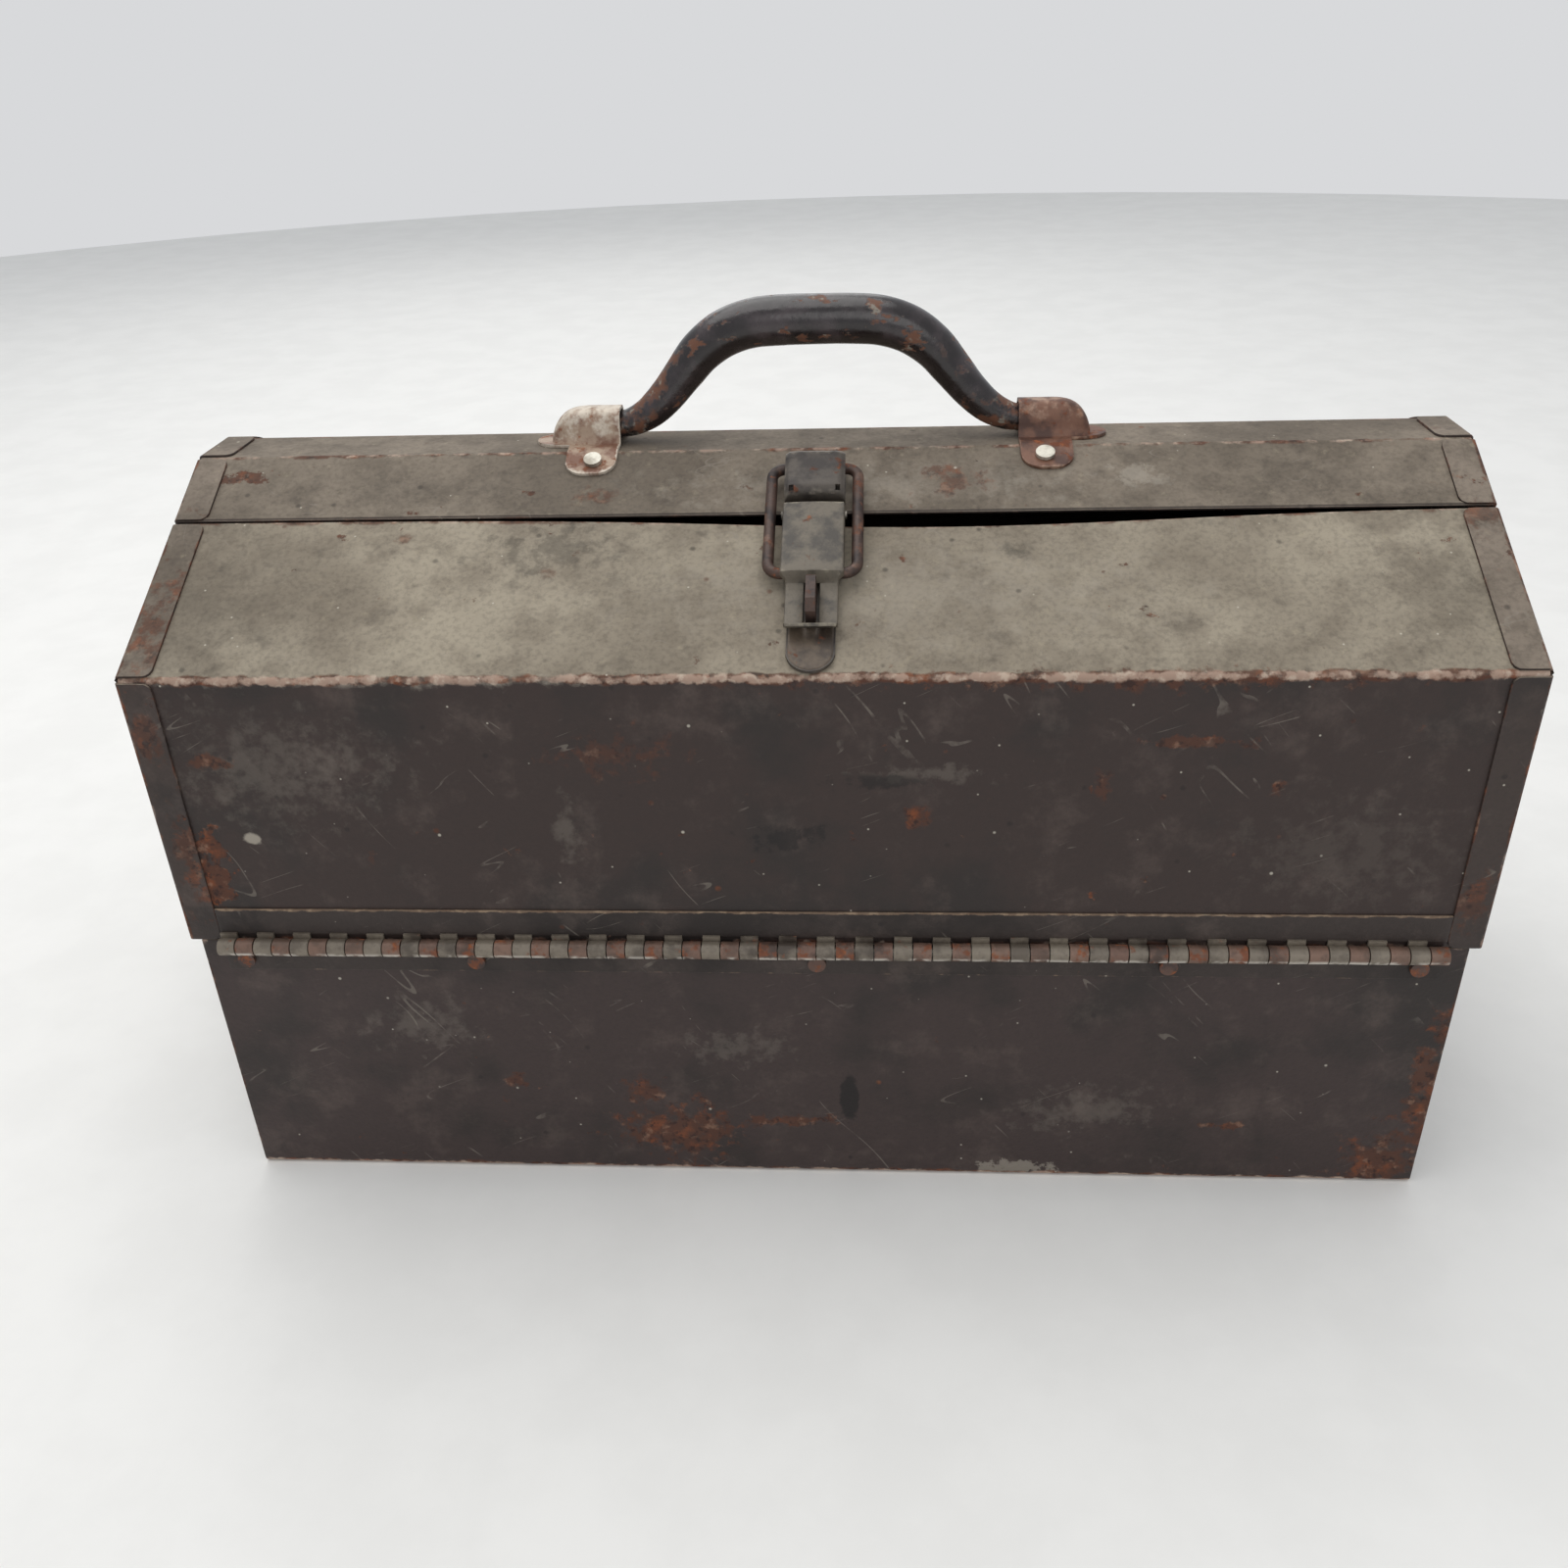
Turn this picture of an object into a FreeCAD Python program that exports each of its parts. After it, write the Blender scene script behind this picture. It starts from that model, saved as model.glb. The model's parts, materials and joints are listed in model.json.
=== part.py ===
"""Steel cantilever tool box with a gabled lid that splits into two hinged covers.

The origin is the middle of the flat base. X runs along the box, the latch side
faces -Y and +Z is up. Each cover swings outward on a continuous hinge along the
top edge of the case and carries two trays, which two arms on the case keep level.
"""
import FreeCAD
import Part

import math
import os

import Sketcher

PARTS_FOLDER = "parts"
SHEET_NAME = "Sizes"

# The driving dimensions, in millimetres (counts are plain numbers).
DRIVING_SIZES = {
    "box_width": 460.0,
    "box_depth": 212.4,
    "wall_top": 110.9,
    "fold_height": 215.9,
    "gable_rise": 47.0,
    "gable_run": 92.8,
    "seam_along": 71.3,
    "seam_gap": 1.0,
    "sheet_metal": 0.9,
    "bend_radius": 2.0,
    "cover_overhang": 3.95,
    "cover_gap": 0.6,
    "tab_width": 12.3,
    "tab_slit": 1.6,
    "hinge_height": 110.5,
    "knuckle_radius": 3.3,
    "knuckle_pitch": 6.8,
    "knuckle_gap": 0.3,
    "hinge_end_gap": 0.1,
    "hinge_clearance": 0.35,
    "hinge_pin_radius": 1.6,
    "running_fit": 0.08,
    "leaf_metal": 1.0,
    "upper_leaf_rise": 14.5,
    "lower_leaf_drop": 12.2,
    "rivet_drop": 7.2,
    "rivet_shank": 1.6,
    "rivet_head": 3.2,
    "rivet_head_rise": 1.3,
    "rivet_spread": 210.0,
    "rivet_inner_spread": 124.0,
    "arm_pivot_inset": 34.2,
    "arm_pivot_rise": 8.0,
    "lower_link_out": 26.25,
    "lower_link_up": 28.0,
    "upper_link_out": 60.0,
    "upper_link_up": 64.0,
    "arm_metal": 1.8,
    "arm_half_width": 6.5,
    "arm_gap": 0.6,
    "pivot_neck": 2.5,
    "pivot_head": 3.2,
    "pivot_head_metal": 1.0,
    "open_pivot_clearance": 0.3,
    "tray_end_gap": 3.15,
    "tray_front_gap": 7.8,
    "tray_middle_gap": 8.0,
    "tray_metal": 0.8,
    "lower_tray_base": 124.0,
    "lower_tray_height": 38.0,
    "upper_tray_base": 166.0,
    "upper_tray_height": 40.0,
    "ear_lug_rise": 15.5,
    "ear_lug_half": 9.0,
    "latch_base_length": 70.0,
    "latch_base_half": 8.0,
    "latch_base_metal": 1.2,
    "lever_pivot_along": 66.0,
    "latch_pin_height": 5.0,
    "latch_pin_radius": 1.5,
    "bail_pivot_along": 39.6,
    "lever_length": 49.5,
    "lever_heel": 2.7,
    "latch_lug_half": 2.2,
    "lever_half": 10.6,
    "lever_grip_half": 8.8,
    "lever_metal": 1.2,
    "lever_height": 8.6,
    "lever_grip_along": 36.5,
    "lever_grip_height": 4.4,
    "staple_slot_half": 2.9,
    "staple_half": 1.6,
    "staple_start": 19.0,
    "staple_length": 15.6,
    "staple_height": 13.0,
    "padlock_radius": 2.6,
    "bail_wire_radius": 2.0,
    "bail_half": 15.0,
    "bail_length": 48.7,
    "bail_bend": 4.5,
    "keeper_half": 10.5,
    "keeper_start": 73.8,
    "keeper_end": 93.4,
    "keeper_metal": 1.2,
    "keeper_height": 9.4,
    "keeper_nose": 3.8,
    "keeper_foot_end": 92.0,
    "keeper_rivet_along": 86.0,
    "keeper_rivet_half": 6.0,
    "latch_rivet_low": 8.0,
    "latch_rivet_high": 54.0,
    "handle_axis_rise": 6.6,
    "handle_end_radius": 4.75,
    "handle_grip_radius": 8.6,
    "handle_end_half": 95.5,
    "handle_knee_half": 70.0,
    "handle_grip_half": 34.0,
    "handle_grip_rise": 34.6,
    "handle_crown_rise": 36.2,
    "handle_fit": 0.3,
    "ear_inner": 72.4,
    "ear_strap_width": 18.7,
    "ear_dome_width": 25.6,
    "ear_tip_width": 6.5,
    "ear_metal": 1.5,
    "ear_tab_end": 91.5,
    "ear_rivet_along": 97.9,
    "ear_rivet_inset": 8.4,
}


class Size:
    """A length that carries its value and the expression the document binds to."""

    def __init__(self, value, text):
        self.value = float(value)
        self.text = text

    @staticmethod
    def of(number):
        """Return number as a Size."""
        return number if isinstance(number, Size) else Size(number, f"({float(number)!r})")

    def _join(self, sign, other, value):
        return Size(value, f"({self.text} {sign} {other.text})")

    def __add__(self, other):
        other = Size.of(other)
        return self._join("+", other, self.value + other.value)

    __radd__ = __add__

    def __sub__(self, other):
        other = Size.of(other)
        return self._join("-", other, self.value - other.value)

    def __rsub__(self, other):
        return Size.of(other) - self

    def __mul__(self, other):
        other = Size.of(other)
        return self._join("*", other, self.value * other.value)

    __rmul__ = __mul__

    def __truediv__(self, other):
        other = Size.of(other)
        return self._join("/", other, self.value / other.value)

    def __neg__(self):
        return Size(-self.value, f"(-1 * {self.text})")


def root(size):
    """Return the square root of a Size."""
    return Size(math.sqrt(size.value), f"sqrt({size.text})")


def whole(size):
    """Return a Size rounded down to a whole number."""
    return Size(math.floor(size.value), f"floor({size.text})")


def slope_angle(rise, run):
    """Return the angle, in degrees, of a slope with this rise and run."""
    return Size(math.degrees(math.atan2(rise.value, run.value)), f"atan({rise.text} / {run.text})")


def make_sheet(doc):
    """Write the driving dimensions into the spreadsheet and return them as Sizes."""
    sheet = doc.addObject("Spreadsheet::Sheet", SHEET_NAME)
    sizes = {}
    for row, (name, value) in enumerate(DRIVING_SIZES.items(), start=1):
        sheet.set(f"A{row}", name)
        sheet.set(f"B{row}", str(value))
        sheet.setAlias(f"B{row}", name)
        sizes[name] = Size(value, f"{SHEET_NAME}.{name}")
    return sizes


DOC = FreeCAD.newDocument("ToolBox")
S = make_sheet(DOC)
DOC.recompute()
NODES = {}

# --------------------------------------------------------------------------
# Places that several pieces share
# --------------------------------------------------------------------------
HALF_WIDTH = S["box_width"] / 2
HALF_DEPTH = S["box_depth"] / 2
METAL = S["sheet_metal"]
ROOF = S["fold_height"] + S["gable_rise"]
ROOF_HALF = HALF_DEPTH - S["gable_run"]
GABLE_LENGTH = root(S["gable_rise"] * S["gable_rise"] + S["gable_run"] * S["gable_run"])
GABLE_ANGLE = slope_angle(S["gable_rise"], S["gable_run"])
GABLE_SIN = S["gable_rise"] / GABLE_LENGTH
GABLE_COS = S["gable_run"] / GABLE_LENGTH
COVER_BASE = S["wall_top"] + S["cover_gap"]
COVER_END_INNER = HALF_WIDTH - METAL
CASE_HALF_WIDTH = HALF_WIDTH - S["cover_overhang"]
CASE_END_INNER = CASE_HALF_WIDTH - METAL
HINGE_OUT = HALF_DEPTH + S["hinge_clearance"] + S["knuckle_radius"]
HINGE_UP = S["hinge_height"]
ARM_PIVOT_Y = HALF_DEPTH - S["arm_pivot_inset"]
ARM_PIVOT_Z = HINGE_UP + S["arm_pivot_rise"]
TRAY_HALF = CASE_END_INNER - S["tray_end_gap"]
ARM_INNER = TRAY_HALF + S["arm_gap"]
ARM_OUTER = ARM_INNER + S["arm_metal"]
SEAM_FRONT = S["seam_along"] - S["seam_gap"] / 2
SEAM_REAR = S["seam_along"] + S["seam_gap"] / 2
LINKS = {
    "lower": (S["lower_link_out"], S["lower_link_up"]),
    "upper": (S["upper_link_out"], S["upper_link_up"]),
}
ENDS = {"left": -1, "right": 1}
FRONT = -1
REAR = 1


def gable_point(along, above, side=FRONT):
    """Return (y, z) of a point on a sloping side.

    along runs up the slope from its lower fold, above stands off its surface.
    """
    out = HALF_DEPTH - along * GABLE_COS + above * GABLE_SIN
    up = S["fold_height"] + along * GABLE_SIN + above * GABLE_COS
    return side * out, up


# --------------------------------------------------------------------------
# Building blocks
# --------------------------------------------------------------------------
def bind(thing, path, size):
    """Bind one property of an object to a Size."""
    thing.setExpression(path, Size.of(size).text)


def keep(node, thing):
    """File a finished object under its node name."""
    thing.Label = node
    NODES[node] = thing
    return thing


def place(thing, position, axis=(1, 0, 0), angle=0):
    """Set and bind an object's Placement."""
    position = [Size.of(value) for value in position]
    angle = Size.of(angle)
    turn = FreeCAD.Rotation(FreeCAD.Vector(*axis), angle.value)
    thing.Placement = FreeCAD.Placement(FreeCAD.Vector(*(p.value for p in position)), turn)
    for letter, value in zip("xyz", position):
        bind(thing, f"Placement.Base.{letter}", value)
    if angle.value:
        bind(thing, "Placement.Rotation.Angle", angle)
    return thing


def sketch_on(body, role, offset):
    """Add a sketch to a body on its own origin plane, moved along the normal."""
    plane = next(f for f in body.Origin.OriginFeatures if f.Role == role)
    sketch = body.newObject("Sketcher::SketchObject", f"{body.Name}_sketch")
    sketch.AttachmentSupport = [(plane, "")]
    sketch.MapMode = "FlatFace"
    bind(sketch, "AttachmentOffset.Base.z", offset)
    return sketch


def fix_point(sketch, geometry, point, where):
    """Bind one sketch point to its two coordinates."""
    for kind, value in zip(("DistanceX", "DistanceY"), where):
        value = Size.of(value)
        index = sketch.addConstraint(Sketcher.Constraint(kind, -1, 1, geometry, point, value.value))
        bind(sketch, f"Constraints[{index}]", value)


def draw_outline(sketch, corners):
    """Draw a closed outline of straight lines with every corner bound."""
    first = sketch.GeometryCount
    count = len(corners)
    spots = [FreeCAD.Vector(Size.of(u).value, Size.of(v).value, 0) for u, v in corners]
    for index, spot in enumerate(spots):
        sketch.addGeometry(Part.LineSegment(spot, spots[(index + 1) % count]), False)
    for index in range(count):
        after = first + (index + 1) % count
        sketch.addConstraint(Sketcher.Constraint("Coincident", first + index, 2, after, 1))
    for index, corner in enumerate(corners):
        fix_point(sketch, first + index, 1, corner)


def draw_circle(sketch, centre, radius):
    """Draw a bound circle."""
    spot = FreeCAD.Vector(Size.of(centre[0]).value, Size.of(centre[1]).value, 0)
    index = sketch.addGeometry(Part.Circle(spot, FreeCAD.Vector(0, 0, 1), radius.value), False)
    fix_point(sketch, index, 3, centre)
    held = sketch.addConstraint(Sketcher.Constraint("Radius", index, radius.value))
    bind(sketch, f"Constraints[{held}]", radius)


def new_body(name):
    """Add an empty PartDesign body."""
    return DOC.addObject("PartDesign::Body", name)


def pad(body, role, start, length, outlines, circles=()):
    """Pad closed outlines, with round holes, from a plane moved to start."""
    sketch = sketch_on(body, role, start)
    for corners in outlines:
        draw_outline(sketch, corners)
    for centre, radius in circles:
        draw_circle(sketch, centre, radius)
    feature = body.newObject("PartDesign::Pad", f"{body.Name}_pad")
    feature.Profile = sketch
    bind(feature, "Length", length)
    DOC.recompute()
    return feature


def bend(body, feature, bends):
    """Round the edges along X that run through the given (y, z) points."""
    names = []
    radii = set()
    for (y, z), radius in bends:
        for index, edge in enumerate(feature.Shape.Edges, start=1):
            ends = [vertex.Point for vertex in edge.Vertexes]
            if len(ends) == 2 and abs(ends[0].x - ends[1].x) > 1:
                near = all(math.hypot(p.y - y.value, p.z - z.value) < 0.01 for p in ends)
                if near:
                    names.append(f"Edge{index}")
                    radii.add(radius.text)
    fillet = body.newObject("PartDesign::Fillet", f"{body.Name}_bend")
    fillet.Base = (feature, names)
    fillet.setExpression("Radius", radii.pop())
    DOC.recompute()
    return fillet


def cylinder(name, position, radius, length, axis="x"):
    """Add a bound cylinder that starts at position and runs along axis."""
    turns = {"x": ((0, 1, 0), 90), "y": ((1, 0, 0), -90), "z": ((0, 0, 1), 0)}
    thing = DOC.addObject("Part::Cylinder", name)
    bind(thing, "Radius", radius)
    bind(thing, "Height", length)
    turn_axis, turn_angle = turns[axis]
    return place(thing, position, turn_axis, turn_angle)


def box(name, low, high):
    """Add a bound box between two corners."""
    thing = DOC.addObject("Part::Box", name)
    for prop, a, b in zip(("Length", "Width", "Height"), low, high):
        bind(thing, prop, Size.of(b) - Size.of(a))
    return place(thing, low)


def fuse(name, things):
    """Join objects into one solid."""
    joined = DOC.addObject("Part::MultiFuse", name)
    joined.Shapes = list(things)
    joined.Refine = True
    return joined


def group(name, things):
    """Keep several separate solids together in one node."""
    together = DOC.addObject("Part::Compound", name)
    together.Links = list(things)
    return together


def cut(name, base, tools):
    """Cut tools out of a base."""
    tool = tools[0] if len(tools) == 1 else group(f"{name}_tools", tools)
    result = DOC.addObject("Part::Cut", name)
    result.Base = base
    result.Tool = tool
    return result


def rivet_along_x(name, side, centre, steps):
    """Add one turned rivet along X from a list of (from |x|, to |x|, radius)."""
    y, z = centre
    pieces = []
    for index, (start, end, radius) in enumerate(steps):
        low = start if side > 0 else -end
        pieces.append(cylinder(f"{name}_{index}", (low, y, z), radius, end - start))
    return fuse(name, pieces)


# --------------------------------------------------------------------------
# Case
# --------------------------------------------------------------------------
def rivet_places():
    """Return the X places of the rivets along each hinge."""
    outer = S["rivet_spread"]
    inner = S["rivet_inner_spread"]
    return [-outer, -inner, Size.of(0), inner, outer]


def build_case_shell():
    """Front wall, bottom and rear wall, bent from one sheet."""
    body = new_body("case_shell_blank")
    inner = HALF_DEPTH - METAL
    profile = [
        (-HALF_DEPTH, 0), (HALF_DEPTH, 0), (HALF_DEPTH, S["wall_top"]), (inner, S["wall_top"]),
        (inner, METAL), (-inner, METAL), (-inner, S["wall_top"]), (-HALF_DEPTH, S["wall_top"]),
    ]
    blank = pad(body, "YZ_Plane", -CASE_HALF_WIDTH, CASE_HALF_WIDTH * 2, [profile])
    corners = [(side * HALF_DEPTH, Size.of(0)) for side in (FRONT, REAR)]
    blank = bend(body, blank, [(corner, S["bend_radius"]) for corner in corners])
    inside = S["bend_radius"] - METAL
    corners = [(side * inner, METAL) for side in (FRONT, REAR)]
    bend(body, blank, [(corner, inside) for corner in corners])
    holes = []
    height = HINGE_UP - S["rivet_drop"]
    radius = S["rivet_shank"] + S["running_fit"]
    for index, x in enumerate(rivet_places()):
        start = (x, -HALF_DEPTH - S["leaf_metal"], height)
        length = (HALF_DEPTH + S["leaf_metal"]) * 2
        holes.append(cylinder(f"case_hole_{index}", start, radius, length, "y"))
    keep("case_shell", cut("case_shell", body, holes))


def build_case_end(end):
    """End plate of the case with a raised lug for each arm's pivot."""
    side = ENDS[end]
    wide = HALF_DEPTH - METAL
    foot = S["bend_radius"]
    top = S["wall_top"]
    lug = top + S["ear_lug_rise"]
    half = S["ear_lug_half"]
    outline = [
        (-wide, METAL + foot), (-wide + foot, METAL), (wide - foot, METAL), (wide, METAL + foot),
        (wide, top), (ARM_PIVOT_Y + half, top), (ARM_PIVOT_Y + half / 2, lug),
        (ARM_PIVOT_Y - half / 2, lug), (ARM_PIVOT_Y - half, top),
        (-ARM_PIVOT_Y + half, top), (-ARM_PIVOT_Y + half / 2, lug),
        (-ARM_PIVOT_Y - half / 2, lug), (-ARM_PIVOT_Y - half, top), (-wide, top),
    ]
    radius = S["pivot_neck"] + S["running_fit"]
    circles = [((ARM_PIVOT_Y * sign, ARM_PIVOT_Z), radius) for sign in (FRONT, REAR)]
    start = CASE_END_INNER if side > 0 else -CASE_HALF_WIDTH
    body = new_body(f"case_end_{end}")
    pad(body, "YZ_Plane", start, METAL, [outline], circles)
    keep(f"case_end_{end}", body)


def build_arm_rivets():
    """Rivets that carry the four arms on the lugs of the case ends."""
    rivets = []
    head = S["pivot_head_metal"]
    steps = [
        (ARM_INNER - 0.2 - head, ARM_INNER - 0.2, S["pivot_head"]),
        (ARM_INNER - 0.2, CASE_HALF_WIDTH, S["pivot_neck"]),
        (CASE_HALF_WIDTH, CASE_HALF_WIDTH + head, S["pivot_head"]),
    ]
    for end, side in ENDS.items():
        for row in (FRONT, REAR):
            name = f"arm_rivet_{end}_{row + 1}"
            rivets.append(rivet_along_x(name, side, (row * ARM_PIVOT_Y, ARM_PIVOT_Z), steps))
    keep("arm_pivot_rivets", group("arm_pivot_rivets", rivets))


# --------------------------------------------------------------------------
# Hinges
# --------------------------------------------------------------------------
HINGE_LENGTH = S["box_width"] - (S["tab_width"] + S["hinge_end_gap"]) * 2
KNUCKLE_PAIRS = whole(HINGE_LENGTH / (S["knuckle_pitch"] * 2) + 0.5)
KNUCKLE_PITCH = HINGE_LENGTH / (KNUCKLE_PAIRS * 2)


def build_leaf(row, upper):
    """Build one leaf of a continuous hinge: a strip and every second knuckle."""
    where = "front" if row == FRONT else "rear"
    level = "upper" if upper else "lower"
    node = f"{where}_hinge_{level}_leaf"
    body = new_body(f"{node}_blank")
    half = HINGE_LENGTH / 2
    face = HALF_DEPTH
    front = HALF_DEPTH + S["leaf_metal"]
    clear = S["knuckle_radius"] + S["hinge_clearance"]
    near = HINGE_UP + clear if upper else HINGE_UP - clear
    far = HINGE_UP + S["upper_leaf_rise"] if upper else HINGE_UP - S["lower_leaf_drop"]
    strip = [(face * row, near), (front * row, near), (front * row, far), (face * row, far)]
    pad(body, "YZ_Plane", -half, half * 2, [strip])
    start = -half if upper else -half + KNUCKLE_PITCH
    start = start + S["knuckle_gap"] / 2
    length = KNUCKLE_PITCH - S["knuckle_gap"]
    behind = HINGE_OUT - S["knuckle_radius"] * 0.6
    back = HALF_DEPTH + S["hinge_clearance"]
    reach = near + (S["leaf_metal"] if upper else -S["leaf_metal"])
    tail = [(back * row, HINGE_UP), (behind * row, HINGE_UP), (front * row, near), (front * row, reach),
            (back * row, reach)]
    sketch = sketch_on(body, "YZ_Plane", start)
    draw_outline(sketch, tail)
    tail_pad = body.newObject("PartDesign::Pad", f"{node}_tail")
    tail_pad.Profile = sketch
    bind(tail_pad, "Length", length)
    sketch = sketch_on(body, "YZ_Plane", start)
    draw_circle(sketch, (HINGE_OUT * row, HINGE_UP), S["knuckle_radius"])
    barrel = body.newObject("PartDesign::Pad", f"{node}_barrel")
    barrel.Profile = sketch
    bind(barrel, "Length", length)
    pattern = body.newObject("PartDesign::LinearPattern", f"{node}_pattern")
    pattern.Originals = [tail_pad, barrel]
    line = next(f for f in body.Origin.OriginFeatures if f.Role == "X_Axis")
    pattern.Direction = (line, [""])
    pattern.Mode = "Spacing"
    bind(pattern, "Offset", KNUCKLE_PITCH * 2)
    bind(pattern, "Occurrences", KNUCKLE_PAIRS)
    body.Tip = pattern
    DOC.recompute()
    bore = S["hinge_pin_radius"] + S["running_fit"]
    tools = [cylinder(f"{node}_bore", (-half, HINGE_OUT * row, HINGE_UP), bore, half * 2)]
    if not upper:
        tools += leaf_rivet_holes(node, row)
    keep(node, cut(node, body, tools))


def leaf_rivet_holes(node, row):
    """Tools for the rivet holes of a lower leaf."""
    length = S["leaf_metal"] * 3
    start = (HALF_DEPTH + S["leaf_metal"] / 2) * row - length / 2
    radius = S["rivet_shank"] + S["running_fit"]
    height = HINGE_UP - S["rivet_drop"]
    return [
        cylinder(f"{node}_hole_{index}", (x, start, height), radius, length, "y")
        for index, x in enumerate(rivet_places())
    ]


def build_hinge_pin(row):
    """Pin of a continuous hinge."""
    where = "front" if row == FRONT else "rear"
    half = HINGE_LENGTH / 2
    start = (-half, HINGE_OUT * row, HINGE_UP)
    name = f"{where}_hinge_pin"
    keep(name, cylinder(name, start, S["hinge_pin_radius"], half * 2))


def build_hinge_rivets(row):
    """Rivets that hold a lower leaf on the case."""
    where = "front" if row == FRONT else "rear"
    outer = HALF_DEPTH + S["leaf_metal"]
    inner = HALF_DEPTH - METAL
    rise = S["rivet_head_rise"]
    height = HINGE_UP - S["rivet_drop"]
    rivets = []
    for index, x in enumerate(rivet_places()):
        name = f"{where}_hinge_rivet_{index}"
        spans = [
            (inner - rise, inner, S["rivet_head"]),
            (inner, outer, S["rivet_shank"]),
            (outer, outer + rise, S["rivet_head"]),
        ]
        pieces = []
        for step, (near, far, radius) in enumerate(spans):
            low = near if row > 0 else -far
            pieces.append(cylinder(f"{name}_{step}", (x, low, height), radius, far - near, "y"))
        rivets.append(fuse(name, pieces))
    keep(f"{where}_hinge_rivets", group(f"{where}_hinge_rivets", rivets))


# --------------------------------------------------------------------------
# Covers
# --------------------------------------------------------------------------
def inner_fold_height():
    """Height of the inside corner between a cover's wall and its slope."""
    return S["fold_height"] - METAL * (1 - GABLE_SIN) / GABLE_COS


def inner_roof_half():
    """Half depth of the inside corner between the slope and the flat top."""
    return ROOF_HALF - METAL * (1 - GABLE_COS) / GABLE_SIN


def build_front_panel():
    """Wall and slope of the front cover, bent from one sheet."""
    body = new_body("front_cover_panel_blank")
    inner = HALF_DEPTH - METAL
    outline = [
        (-HALF_DEPTH, COVER_BASE), (-HALF_DEPTH, S["fold_height"]), gable_point(SEAM_FRONT, Size.of(0)),
        gable_point(SEAM_FRONT, -METAL), (-inner, inner_fold_height()), (-inner, COVER_BASE),
    ]
    blank = pad(body, "YZ_Plane", -COVER_END_INNER, COVER_END_INNER * 2, [outline])
    bend(body, blank, [((-HALF_DEPTH, S["fold_height"]), S["bend_radius"])])
    tools = [
        slope_cylinder(f"panel_hole_{index}", x, along, -METAL * 2, LATCH_HOLE, METAL * 4)
        for index, (x, along) in enumerate(latch_rivet_places())
    ]
    keep("front_cover_panel", cut("front_cover_panel", body, tools))


def build_rear_panel():
    """Flat top, rear slope and wall, and the front strip that the latch hooks."""
    body = new_body("rear_cover_panel_blank")
    inner = HALF_DEPTH - METAL
    outline = [
        gable_point(SEAM_REAR, Size.of(0)), (-ROOF_HALF, ROOF), (ROOF_HALF, ROOF),
        (HALF_DEPTH, S["fold_height"]), (HALF_DEPTH, COVER_BASE), (inner, COVER_BASE),
        (inner, inner_fold_height()), (inner_roof_half(), ROOF - METAL),
        (-inner_roof_half(), ROOF - METAL), gable_point(SEAM_REAR, -METAL),
    ]
    blank = pad(body, "YZ_Plane", -COVER_END_INNER, COVER_END_INNER * 2, [outline])
    folds = [(-ROOF_HALF, ROOF), (ROOF_HALF, ROOF), (HALF_DEPTH, S["fold_height"])]
    bend(body, blank, [(fold, S["bend_radius"]) for fold in folds])
    tools = [
        slope_cylinder(f"keeper_hole_{index}", x, along, -METAL * 2, LATCH_HOLE, METAL * 4)
        for index, (x, along) in enumerate(keeper_rivet_places())
    ]
    for index, (x, side) in enumerate(ear_rivet_places()):
        args = (x, S["ear_rivet_along"], -METAL * 2, LATCH_HOLE, METAL * 4)
        tools.append(slope_cylinder(f"lid_ear_hole_{index}", *args, side=side))
    keep("rear_cover_panel", cut("rear_cover_panel", body, tools))


def slope_cylinder(name, x, along, above, radius, length, side=FRONT):
    """Add a bound cylinder that stands square to a sloping side."""
    thing = DOC.addObject("Part::Cylinder", name)
    bind(thing, "Radius", radius)
    bind(thing, "Height", length)
    y, z = gable_point(Size.of(along), Size.of(above), side)
    return place(thing, (x, y, z), (1, 0, 0), GABLE_ANGLE * (1 if side == FRONT else -1))


def slope_strip(start, end, side=FRONT):
    """Outline of a strip of metal that lies on a sloping side."""
    corners = [
        gable_point(start, Size.of(0), side), gable_point(end, Size.of(0), side),
        gable_point(end, METAL, side), gable_point(start, METAL, side),
    ]
    return corners


def cap_fold_height():
    """Height of the outer corner of an end cap beside the wall-to-slope fold."""
    return S["fold_height"] + METAL * (1 - GABLE_SIN) / GABLE_COS


def cap_roof_half():
    """Half depth of the outer corner of an end cap beside the flat top."""
    return ROOF_HALF + METAL * (1 - GABLE_COS) / GABLE_SIN


def wall_strip(row):
    """Outline of an end cap's tab on a cover's upright wall."""
    outer = HALF_DEPTH + METAL
    top = S["fold_height"] - S["tab_slit"]
    return [(HALF_DEPTH * row, COVER_BASE), (outer * row, COVER_BASE), (outer * row, top),
            (HALF_DEPTH * row, top)]


def build_front_cap(end):
    """End cap of the front cover with its folded tabs."""
    side = ENDS[end]
    outer = HALF_DEPTH + METAL
    seam_low = gable_point(SEAM_FRONT, Size.of(0))
    plate = [(-outer, COVER_BASE), (-outer, cap_fold_height()), gable_point(SEAM_FRONT, METAL),
             seam_low, (seam_low[0], COVER_BASE)]
    tabs = [wall_strip(FRONT), slope_strip(S["tab_slit"], SEAM_FRONT)]
    build_cap(f"front_cover_end_{end}", side, plate, tabs)


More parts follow.
